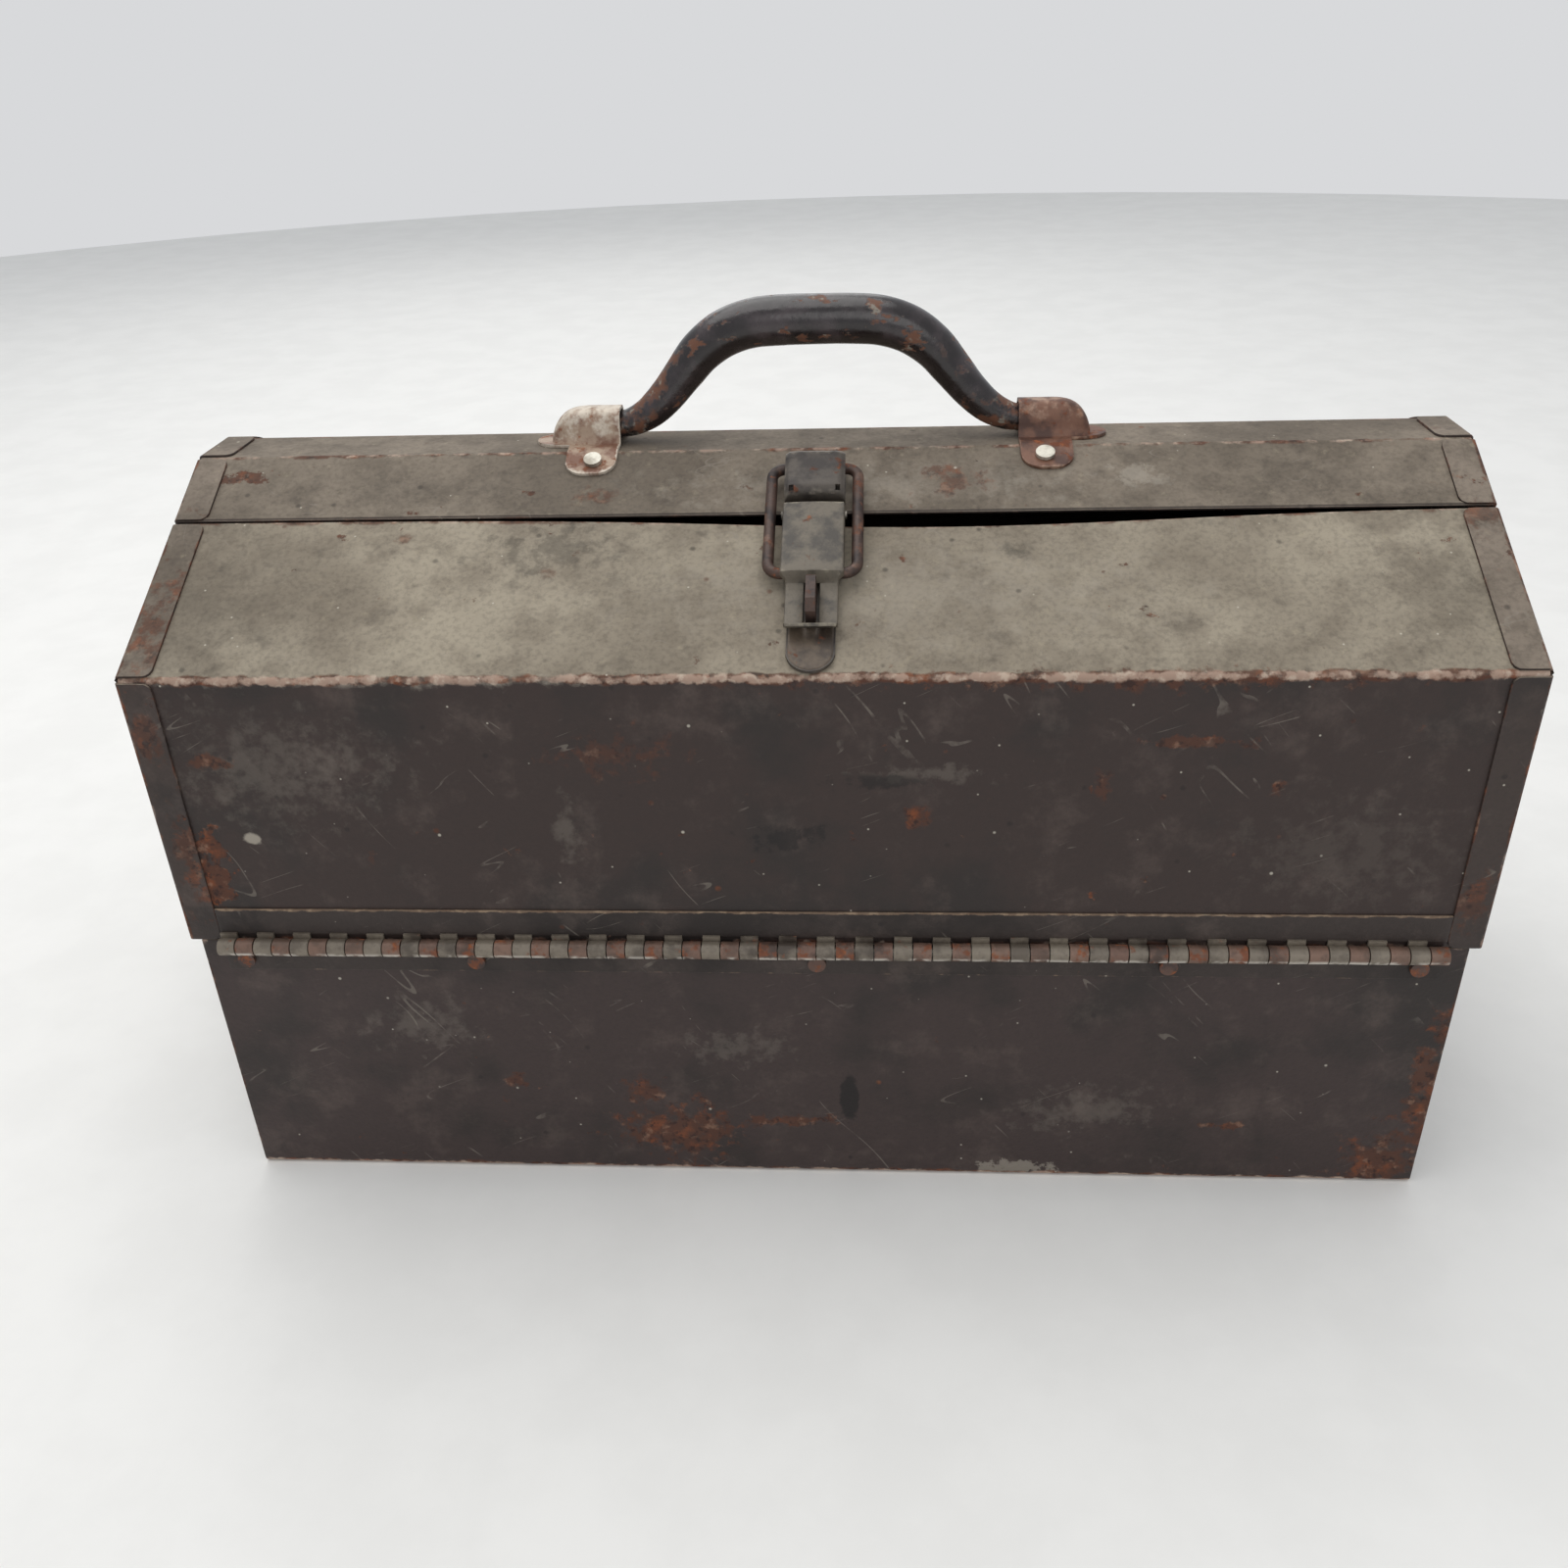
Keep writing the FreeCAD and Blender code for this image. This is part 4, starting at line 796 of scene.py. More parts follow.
@dataclass(frozen=True)
class GlossLacquer:
    """Dark baked lacquer on the handle's tube, polished by hands and chipped.

    The coat is glossy, with a bluish sheen on the high places and brown rust in
    the chips and along the legs.

    Attributes:
        name: Name of the material.
        coat: Main colour of the lacquer.
        hand: Colour where hands have thinned it.
    """

    name: str = "handle_lacquer"
    coat: str = "#1d1617"
    hand: str = "#3b3234"

    def build(self) -> bpy.types.Material:
        """Build the material with all of its layers."""
        material, tree, shader = start_material(self.name)
        age = Weathering(tree)
        colour = age.tint(paint(self.coat), paint(self.hand),
                          age.patches(13, 0.45, 0.68, 2.0, 5.0))
        chips = age.patches(8, 0.585, 0.63, 27.0, 6.0, (0.6, 1.0, 1.0), 0.62)
        rust = age.either([chips, age.worn_edge(0.62, 0.95, 6.0, 13.0)])
        oxide = age.tint(paint("#6d4530"), paint("#8d8579"), age.patches(4, 0.55, 0.64, 6.0, 5.0))
        colour = age.tint(colour, oxide, age.both(rust, 0.8))
        rough = age.blend(0.2, 0.36, age.patches(9, 0.4, 0.7, 6.0, 5.0))
        rough = age.blend(rough, 0.85, rust)
        age.finish(shader, colour, rough, rust, (3.5, 4.0, 0.55), (-0.8, 0.45, 0.0004))
        shader.inputs["Coat Weight"].default_value = 0.25
        shader.inputs["Coat Roughness"].default_value = 0.2
        return material


class Finishes:
    """Every finish of the box, built once."""

    def __init__(self, gable: "Gable") -> None:
        """Build the materials.

        Args:
            gable: Shape of the box, which places the marks.
        """
        wall = -gable.half_depth
        rust, dark, pale = MarkKind.RUST, MarkKind.DARK, MarkKind.PALE

        def on_wall(x: float, z: float, wide: float, high: float, kind: MarkKind,
                    ragged: float = 0.9,
                    soft: float = 0.28, strength: float = 1.0) -> Mark:
            """Return a mark on the front wall."""
            return Mark((x, wall, z), (wide, 14.0, high), kind, ragged, soft, strength)

        def on_slope(x: float, along: float, wide: float, high: float, kind: MarkKind,
                     ragged: float = 0.9,
                     soft: float = 0.28, strength: float = 1.0) -> Mark:
            """Return a mark on the front slope."""
            y, z = gable.point(along, 0.0)
            return Mark((x, y, z), (wide, high, high), kind, ragged, soft, strength)

        case_marks = (
            on_wall(-54, 20, 27, 15, rust, 1.3, 0.6, 0.9),
            on_wall(-68, 40, 8, 9, rust, 1.3, 0.6, 0.8),
            on_wall(-10, 26, 20, 3, rust, 1.3, 0.5, 0.9),
            on_wall(153, 27, 8, 2, rust, 1.2, 0.5, 0.9),
            on_wall(226, 40, 11, 46, rust, 1.0, 0.6, 0.9),
            on_wall(212, 10, 16, 17, rust, 1.0, 0.6, 0.9),
            on_wall(11, 37, 4.2, 13, dark, 0.35), on_wall(75, 4, 16, 4, pale, 1.2, 0.3, 0.5),
            on_wall(-150, 72, 22, 12, pale, 1.5, 1.1, 0.13),
            on_wall(-117, 45, 5, 4, rust, 1.3, 0.5, 0.8),
            on_wall(100, 35, 30, 12, pale, 1.7, 1.1, 0.12),
            on_wall(-30, 62, 22, 8, pale, 1.7, 1.1, 0.12),
        )
        cover_marks = (
            on_wall(35, 164, 6, 5, rust, 0.9, 0.5), on_wall(-207, 185, 9, 4, rust, 1.0, 0.5, 0.9),
            on_wall(126, 192, 17, 2.6, rust, 1.2, 0.5, 0.8),
            on_wall(96, 177, 3, 8, rust, 1.2, 0.8, 0.7),
            on_wall(152, 175, 3, 4, rust, 1.0, 0.6, 0.9),
            on_wall(-66, 187, 20, 8, rust, 1.7, 1.0, 0.6),
            on_wall(-197, 154, 4, 2.6, pale, 0.5, 0.4, 0.8), on_wall(-214, 139, 7, 16, rust, 1.4),
            on_wall(-10, 155, 16, 5, dark, 1.3, 0.6, 0.8),
            on_wall(23, 177, 18, 3, dark, 1.2, 0.6, 0.8),
            on_wall(-85, 157, 5, 16, pale, 1.2, 1.0, 0.15),
            on_wall(38, 180, 22, 4, pale, 1.5, 1.0, 0.14),
            # Painted sheen: a faint pale haze at the top left of the front wall.
            on_wall(-185, 182, 50, 24, pale, 1.3, 1.2, 0.14),
            on_wall(180, 150, 40, 24, pale, 1.5, 1.1, 0.06),
            on_slope(-144, 62, 4, 4, rust, 1.0, 0.9, 0.8),
            on_slope(-90, 46, 4, 3, rust, 1.0, 0.9, 0.7),
            on_slope(-92, 56, 26, 12, dark, 1.5, 1.0, 0.45),
            on_slope(69, 54, 7, 6, dark, 1.0, 0.9, 0.6),
            on_slope(110, -2, 75, 5, rust, 1.1, 0.6, 0.9),
            on_slope(10, -2, 60, 4, rust, 1.1, 0.6, 0.8),
            # Broad areas that make the slope darker towards both ends and paler in the middle.
            on_slope(-215, 30, 60, 60, dark, 0.8, 1.2, 0.3),
            on_slope(210, 36, 60, 50, dark, 0.8, 1.2, 0.25),
            on_slope(30, 36, 110, 30, pale, 1.0, 1.2, 0.3),
            # Painted highlight: a pale streak along the left half of the fold.
            on_slope(-130, -1, 120, 3.2, pale, 0.8, 0.9, 0.6),
        )
        lid_marks = (
            on_slope(-80, 82, 9, 5, rust, 1.4, 0.9, 0.8),
            on_slope(47, 87, 13, 8, rust, 1.5, 0.9, 0.85),
            on_slope(112, 88, 13, 6, pale, 1.4, 0.7, 0.5), on_slope(-210, 93, 10, 4, rust, 1.4),
            # Broad areas that make the lid darker towards both ends and paler in the middle.
            on_slope(-150, 86, 80, 14, dark, 1.2, 1.2, 0.25),
            on_slope(170, 86, 70, 14, dark, 1.2, 1.2, 0.25),
            on_slope(20, 86, 90, 14, pale, 1.2, 1.2, 0.38),
        )
        cap_marks = (
            on_slope(-222, 22, 8, 24, rust, 1.3, 0.8, 0.8),
            on_wall(-224, 196, 6, 10, rust, 1.5, 0.8, 0.7),
            on_wall(-220, 150, 5, 18, rust, 1.6, 0.8, 0.7),
            on_slope(222, 66, 7, 9, rust, 1.6, 0.8, 0.7),
            on_wall(222, 132, 6, 12, rust, 1.7, 0.8, 0.6),
        )
        self.case = BakedEnamel("baked_enamel_case", coat="#3d3230", marks=case_marks,
                                rust_low=0.67).build()
        self.cover = BakedEnamel("baked_enamel_cover", coat="#382d2a", marks=cover_marks).build()
        self.lid = BakedEnamel("baked_enamel_lid", dust="#857a6c", dust_deep="#5c5348",
                               marks=lid_marks, edge_low=1.1, bare_low=1.25).build()
        self.cap = BakedEnamel("baked_enamel_cap", coat="#3e3430", dust="#887c6f",
                               dust_deep="#5f564b",
                               marks=cap_marks, rust_low=0.6, edge_low=1.0, bare_low=1.3).build()
        self.leaf = BakedEnamel("baked_enamel_leaf", coat="#38302d", deep="#282220", rust_low=0.62,
                                edge_low=1.2, bare_low=0.8, bare="#75604f",
                                bare_light="#9a836c").build()
        self.tray = BakedEnamel("baked_enamel_tray", coat="#4b403a", deep="#3a322e",
                                dust="#6e645a",
                                dust_deep="#4c443d", dust_share=0.6, rust_low=0.7,
                                edge_low=1.0).build()
        # The knuckles' glint is a painted highlight on their undersides.
        self.knuckle = WornPlate("worn_plate_knuckle_painted_glint", "#6f665b", "#443b34", "#8d8374",
                                 rust="#7f5440",
                                 rust_low=0.6, rubbed_low=0.75, glint=0.7).build()
        self.rusty_knuckle = WornPlate("rusted_plate_knuckle_painted_glint", "#6a5146", "#3a2d28", "#8a6f5f",
                                       rust="#7d4c36",
                                       rust_low=0.52, rubbed_low=0.75, glint=0.9).build()
        self.latch = WornPlate("worn_plate_latch", "#645c50", "#3f3a34", "#857c6c", rust_low=0.64,
                               rubbed_low=0.95, metal=0.15, rough=0.48).build()
        self.nose = WornPlate("worn_plate_nose", "#5c4f42", "#40362e", "#7d6f60", rust_low=0.6,
                              rubbed_low=1.1, metal=0.15, rough=0.5).build()
        self.catch = WornPlate("worn_plate_catch", "#4e4740", "#312b28", "#80776b", rust_low=0.6,
                               metal=0.2, rough=0.48).build()
        self.wire = WornPlate("worn_plate_wire", "#49372f", "#2a201e", "#80604f", rust="#6e432f",
                              rust_low=0.55, metal=0.2).build()
        self.ear_left = WornPlate("worn_plate_ear_left", "#a08b78", "#6f4d3c", "#cfc5b6",
                                  rust="#7c4c34",
                                  rust_low=0.52, rubbed_low=0.55, metal=0.2).build()
        self.ear_right = WornPlate("worn_plate_ear_right", "#73503f", "#4a3128", "#a98c78",
                                   rust="#71402a",
                                   rust_low=0.54, rubbed_low=0.8, metal=0.2).build()
        self.rivet = WornPlate("nickel_plate_rivet", "#c4c0b4", "#8f897d", "#e6e3d8",
                               rust_low=0.66,
                               metal=0.55, rough=0.34).build()
        self.dark_rivet = WornPlate("worn_plate_rivet", "#5a4238", "#3a2c28", "#8f6f5c",
                                    rust="#7a4a34",
                                    rust_low=0.48, metal=0.15).build()
        self.pin = WornPlate("nickel_plate_pin", "#8d877d", "#5f5a53", "#b9b3a8", rust_low=0.62,
                             metal=0.6, rough=0.4).build()
        self.handle = GlossLacquer().build()


# --------------------------------------------------------------------------
# Shape of the box
# --------------------------------------------------------------------------
@dataclass(frozen=True)
class Gable:
    """The section that every cover piece follows.

    Attributes:
        half_depth: Half of the depth over the walls.
        wall_top: Top of the case's walls.
        cover_base: Lower edge of the covers.
        fold: Height of the fold between wall and slope.
        rise: Height of the slope.
        run: Depth of the slope.
        metal: Sheet thickness.
        seam: Where the covers part, measured up the front slope.
        half_width: Half of the length over the end caps.
        case_half: Half of the length of the case.
        tab: Width of the end caps' tabs.
    """

    half_depth: float
    wall_top: float
    cover_base: float
    half_width: float
    case_half: float
    fold: float = 215.9
    rise: float = 47.0
    run: float = 92.8
    metal: float = 0.9
    seam: float = 71.3
    tab: float = 12.3

    @classmethod
    def from_frame(cls) -> "Gable":
        """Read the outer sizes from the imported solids."""
        shell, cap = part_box("case_shell")[1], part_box("front_cover_end_right")[1]
        return cls(half_depth=shell.y / MM, wall_top=shell.z / MM, case_half=shell.x / MM,
                   half_width=cap.x / MM, cover_base=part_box("front_cover_panel")[0].z / MM)

    @property
    def length(self) -> float:
        """Length of the slope."""
        return math.hypot(self.rise, self.run)

    @property
    def roof(self) -> float:
        """Height of the flat top."""
        return self.fold + self.rise

    @property
    def roof_half(self) -> float:
        """Half depth of the flat top."""
        return self.half_depth - self.run

    @property
    def slope(self) -> Vector:
        """Direction up the front slope, as (y, z)."""
        return Vector((self.run, self.rise)) / self.length

    def point(self, along: float, above: float, side: int = -1) -> Spot:
        """Return (y, z) on a slope.

        Args:
            along: Distance up from the lower fold.
            above: Distance off the surface.
            side: -1 for the front slope and 1 for the rear one.

        Returns:
            The point.
        """
        up = self.slope
        out = self.half_depth - along * up.x + above * up.y
        return side * out, self.fold + along * up.y + above * up.x

    def lay(self, x: float, along: float, above: float) -> Point:
        """Return the point of a fitting drawn flat on the front slope."""
        return (x, *self.point(along, above))


def cloud(x: float, y: float, z: float, size: float, seed: float) -> float:
    """Return smooth noise between about -1 and 1 at a place, for dents."""
    return noise.noise(Vector((x / size + seed, y / size, z / size - seed)))


def install(piece: bpy.types.Object, body: str, finish: bpy.types.Material,
            replaces: Sequence[str] = ()) -> bpy.types.Object:
    """Give a new piece its finish, its body and the CAD nodes it stands for.

    Args:
        piece: The finished piece.
        body: Body it rides on.
        finish: Its material.
        replaces: CAD nodes that it hides.

    Returns:
        The same piece.
    """
    piece.data.materials.clear()
    piece.data.materials.append(finish)
    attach(piece, body)
    if replaces:
        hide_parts(*replaces)
    LOG.info("%s rides on %s: %d faces", piece.name, body, len(piece.data.polygons))
    return piece


def dress(node: str, finish: bpy.types.Material) -> None:
    """Give a CAD node that stays in view its finish.

    Args:
        node: Name of the node.
        finish: Its material.
    """
    solid = frame["nodes"][node]
    if not solid.material_slots:
        solid.data.materials.append(finish)
    for slot in solid.material_slots:
        slot.material = finish
    LOG.info("%s keeps its CAD shape", node)


# --------------------------------------------------------------------------
# Repeated pieces grown by Geometry Nodes
# --------------------------------------------------------------------------
class Grower:
    """Base of the node trees that repeat one small shape."""

    def __init__(self, name: str, sizes: dict[str, float]) -> None:
        """Start a tree with one named input for each size.

        Args:
            name: Name of the tree.
            sizes: Input name and value in metres, or a plain count.
        """
        self.tree = bpy.data.node_groups.new(name, "GeometryNodeTree")
        face = self.tree.interface
        face.new_socket(name="Geometry", in_out="INPUT", socket_type="NodeSocketGeometry")
        face.new_socket(name="Geometry", in_out="OUTPUT", socket_type="NodeSocketGeometry")
        self.values = {}
        for key, value in sizes.items():
            kind = "NodeSocketInt" if isinstance(value, int) else "NodeSocketFloat"
            socket = face.new_socket(name=key, in_out="INPUT", socket_type=kind)
            self.values[socket.identifier] = value
        finish = face.new_socket(name="Finish", in_out="INPUT", socket_type="NodeSocketMaterial")
        self.finish = finish.identifier
        self.entry = add_node(self.tree, "NodeGroupInput")
        self.out = add_node(self.tree, "NodeGroupOutput")

    def turned(self, length: object, radius: object, low: float,
               sides: int) -> bpy.types.NodeSocket:
        """Sweep a circle up Z with a rounded far end, as a rivet's head or a knuckle's end.

        Args:
            length: Length of the turned shape.
            radius: Radius at its widest.
            low: Radius share at the rounded end.
            sides: Faces round it.

        Returns:
            The mesh.
        """
        tree = self.tree
        far = add_node(tree, "ShaderNodeCombineXYZ", {"Z": length})
        line = add_node(tree, "GeometryNodeCurvePrimitiveLine",
                        {"Start": (0, 0, 0), "End": far.outputs[0]})
        fine = add_node(tree, "GeometryNodeResampleCurve", {"Curve": line.outputs[0], "Count": 9})
        along = add_node(tree, "GeometryNodeSplineParameter").outputs["Factor"]
        square = add_node(tree, "ShaderNodeMath", {0: along, 1: 2.2}, operation="POWER").outputs[0]
        left = add_node(tree, "ShaderNodeMath", {0: square, 1: low - 1.0, 2: 1.0},
                        operation="MULTIPLY_ADD").outputs[0]
        girth = add_node(tree, "ShaderNodeMath", {0: left, 1: 0.6}, operation="POWER").outputs[0]
        shaped = add_node(tree, "GeometryNodeSetCurveRadius",
                          {"Curve": fine.outputs[0], "Radius": girth})
        ring = add_node(tree, "GeometryNodeCurvePrimitiveCircle",
                        {"Resolution": sides, "Radius": radius})
        return add_node(tree, "GeometryNodeCurveToMesh", {
            "Curve": shaped.outputs[0], "Profile Curve": ring.outputs[0],
            "Fill Caps": True}).outputs[0]

    def close(self, repeated: bpy.types.NodeSocket) -> None:
        """Realize the copies, set their finish and end the tree.

        Args:
            repeated: The instances.
        """
        tree = self.tree
        solid = add_node(tree, "GeometryNodeRealizeInstances", {0: repeated})
        soft = add_node(tree, "GeometryNodeSetShadeSmooth", {0: solid.outputs[0]})
        done = add_node(tree, "GeometryNodeSetMaterial", {
            "Geometry": soft.outputs[0], "Material": self.entry.outputs["Finish"]})
        tree.links.new(done.outputs[0], self.out.inputs[0])

    def grow(self, name: str, seeds: Sequence[Point],
             finish: bpy.types.Material) -> bpy.types.Object:
        """Run the tree on a set of points and return the plain mesh.

        Args:
            name: Name of the piece.
            seeds: Points that the tree starts from, in millimetres.
            finish: Material of the copies.

        Returns:
            The piece.
        """
        piece = make_piece(name, seeds, [])
        grown = piece.modifiers.new("grow", "NODES")
        grown.node_group = self.tree
        for identifier, value in self.values.items():
            grown[identifier] = value
        grown[self.finish] = finish
        return settle_mesh(piece, 45.0)


class KnuckleRow(Grower):
    """One leaf's hinge knuckles, each a rolled barrel with the strip that joins it to the leaf."""

    def __init__(self, radius: float, width: float, pitch: float, pairs: int, reach: float,
                 metal: float,
                 side: int, upper: bool) -> None:
        """Build the tree.

        Args:
            radius: Radius of a barrel in millimetres.
            width: Length of a barrel.
            pitch: Distance between barrels of one leaf.
            pairs: Number of barrels.
            reach: Height of the joining strip.
            metal: Thickness of the joining strip.
            side: -1 on the front, 1 on the rear.
            upper: Whether the leaf lies above the pin.
        """
        super().__init__("knuckle_row", {
            "Radius": radius * MM, "Half width": width / 2 * MM, "Pitch": pitch * MM,
            "Reach": reach * MM,
            "Metal": metal * MM, "Count": pairs})
        tree, size = self.tree, self.entry.outputs
        barrel = self.turned(size["Half width"], size["Radius"], 0.72, 16)
        right = add_node(tree, "GeometryNodeTransform",
                         {"Geometry": barrel, "Rotation": (0, math.pi / 2, 0)})
        left = add_node(tree, "GeometryNodeTransform",
                        {"Geometry": barrel, "Rotation": (0, -math.pi / 2, 0)})
        wide = add_node(tree, "ShaderNodeMath", {0: size["Half width"], 1: 1.97},
                        operation="MULTIPLY")
        plate = add_node(tree, "ShaderNodeCombineXYZ",
                         {"X": wide.outputs[0], "Y": size["Metal"], "Z": size["Reach"]})
        strip = add_node(tree, "GeometryNodeMeshCube", {"Size": plate.outputs[0]})
        lift = add_node(tree, "ShaderNodeMath", {0: size["Reach"], 1: 0.5 if upper else -0.5},
                        operation="MULTIPLY")
        back = add_node(tree, "ShaderNodeMath", {0: size["Radius"], 1: -0.72 * side},
                        operation="MULTIPLY")
        moved = add_node(tree, "ShaderNodeCombineXYZ",
                         {"Y": back.outputs[0], "Z": lift.outputs[0]})
        held = add_node(tree, "GeometryNodeTransform",
                        {"Geometry": strip.outputs[0], "Translation": moved.outputs[0]})
        whole = add_node(tree, "GeometryNodeJoinGeometry")
        for part in (right, left, held):
            tree.links.new(part.outputs[0], whole.inputs[0])
        step = add_node(tree, "ShaderNodeCombineXYZ", {"X": size["Pitch"]})
        start = add_node(tree, "GeometryNodeInputPosition")
        row = add_node(tree, "GeometryNodeMeshLine",
                       {"Count": size["Count"], "Offset": step.outputs[0]})
        origin = add_node(tree, "GeometryNodeAttributeStatistic", {
            "Geometry": self.entry.outputs["Geometry"], "Attribute": start.outputs[0]},
                          data_type="FLOAT_VECTOR")
        placed = add_node(tree, "GeometryNodeTransform", {
            "Geometry": row.outputs[0], "Translation": origin.outputs["Mean"]})
        jitter = add_node(tree, "FunctionNodeRandomValue", {
            "Min": (-0.05, -0.02, -0.012), "Max": (0.05, 0.02, 0.012), "Seed": 3 + side},
                          data_type="FLOAT_VECTOR")
        copies = add_node(tree, "GeometryNodeInstanceOnPoints", {
            "Points": placed.outputs[0], "Instance": whole.outputs[0],
            "Rotation": jitter.outputs[0]})
        shade = add_node(tree, "FunctionNodeRandomValue", {"Seed": 11 + side}, data_type="FLOAT")
        toned = add_node(tree, "GeometryNodeStoreNamedAttribute", {
            "Geometry": copies.outputs[0], "Name": "tone", "Value": shade.outputs[1]},
            domain="INSTANCE", data_type="FLOAT")
        self.close(toned.outputs[0])


class RivetSet(Grower):
    """Low domed rivet heads that stand off a surface."""

    def __init__(self, radius: float, rise: float, facing: Point) -> None:
        """Build the tree.

        Args:
            radius: Radius of a head in millimetres.
            rise: Height of a head.
            facing: Euler angles, in radians, that turn Z to face outwards.
        """
        super().__init__("rivet_set", {"Radius": radius * MM, "Rise": rise * MM})
        tree, size = self.tree, self.entry.outputs
        head = self.turned(size["Rise"], size["Radius"], 0.06, 24)
        turned = add_node(tree, "GeometryNodeTransform", {"Geometry": head, "Rotation": facing})
        swell = add_node(tree, "FunctionNodeRandomValue", {
            "Min": (0.92, 0.92, 0.9), "Max": (1.03, 1.03, 1.0), "Seed": 5},
                         data_type="FLOAT_VECTOR")
        copies = add_node(tree, "GeometryNodeInstanceOnPoints", {
            "Points": size["Geometry"], "Instance": turned.outputs[0], "Scale": swell.outputs[0]})
        self.close(copies.outputs[0])


# --------------------------------------------------------------------------
# Sub-assemblies
# --------------------------------------------------------------------------
@dataclass
class Case:
    """Lower half of the box: one bent sheet and two end plates.

    Attributes:
        gable: Section of the box.
        fold: Radius of the lower folds.
        lug_rise: Height of the lugs that carry the arms.
        lug_half: Half width of a lug at its foot.
        pivot: Distance of the arm pivots from the middle.
    """

    gable: Gable
    fold: float = 2.4
    lug_rise: float = 15.5
    lug_half: float = 9.0
    pivot: float = 72.0

    def warp(self, spot: Vector) -> Vector:
        """Push the walls in a little below the hinge."""
        x, y, z = spot
        calm = ramp(92.0, z, 20.0) * ramp(z, 2.0, 12.0)
        edge = ramp(self.gable.case_half, abs(x), 14.0)
        dent = 0.55 + 0.5 * cloud(x, y, z, 74.0, 4.0) + 0.16 * cloud(x, y, z, 21.0, 9.0)
        inward = -math.copysign(dent * 0.9, y) * calm * edge
        return Vector((x, y + inward, z))

    def build(self, finishes: Finishes) -> None:
        """Build and dress the case.

        Args:
            finishes: Materials of the box.
        """
        g = self.gable
        path = FoldPath(((g.half_depth, g.wall_top), (g.half_depth, 0), (-g.half_depth, 0),
                         (-g.half_depth, g.wall_top)), self.fold)
        shell = sweep_sheet("case_sheet", path, g.case_half, g.metal, self.warp)
        install(shell, "case", finishes.case, ["case_shell"])
        for name, side in (("left", -1), ("right", 1)):
            plate = self.end_plate(f"case_plate_{name}", side)
            install(plate, "case", finishes.case, [f"case_end_{name}"])
        dress("arm_pivot_rivets", finishes.pin)

    def end_plate(self, name: str, side: int) -> bpy.types.Object:
        """Build one end plate with its two lugs.

        Args:
            name: Name of the piece.
            side: -1 for the left end, 1 for the right end.

        Returns:
            The plate.
        """
        g = self.gable
        wide = g.half_depth - g.metal
        top = g.wall_top
        outline = [(-wide, g.metal + 2), (-wide + 2, g.metal), (wide - 2, g.metal),
                   (wide, g.metal + 2), (wide, top)]
        for centre in (self.pivot, -self.pivot):
            outline += [(centre + self.lug_half, top),
                        (centre + self.lug_half / 2, top + self.lug_rise),
                        (centre - self.lug_half / 2, top + self.lug_rise),
                        (centre - self.lug_half, top)]
        outline.append((-wide, top))
        return plate_piece(name, outline, g.case_half * side, side, g.metal, 0.5)


def plate_piece(name: str, outline: Sequence[Spot], x: float, side: int, metal: float,
                edge_wear: float) -> bpy.types.Object:
    """Make a flat plate square to X from its outline.

    Args:
        name: Name of the piece.
        outline: (y, z) corners, counter-clockwise as seen from +X.
        x: Place of its outer face.
        side: Which way the outer face looks.
        metal: Thickness.
        edge_wear: Wear at its edges.

    Returns:
        The finished plate.
    """
    shape = bmesh.new()
    corners = outline if side > 0 else outline[::-1]
    face = shape.faces.new([shape.verts.new((x * MM, y * MM, z * MM)) for y, z in corners])
    layer = shape.verts.layers.float.new("wear")
    bmesh.ops.inset_region(shape, faces=[face], thickness=3.5 * MM, use_even_offset=True)
    middle = set(face.verts)
    for vert in shape.verts:
        vert[layer] = 0.0 if vert in middle else edge_wear
    mesh = bpy.data.meshes.new(name)
    shape.to_mesh(mesh)
    shape.free()
    piece = bpy.data.objects.new(name, mesh)
    bpy.context.scene.collection.objects.link(piece)
    return give_metal(piece, metal, 0.15)


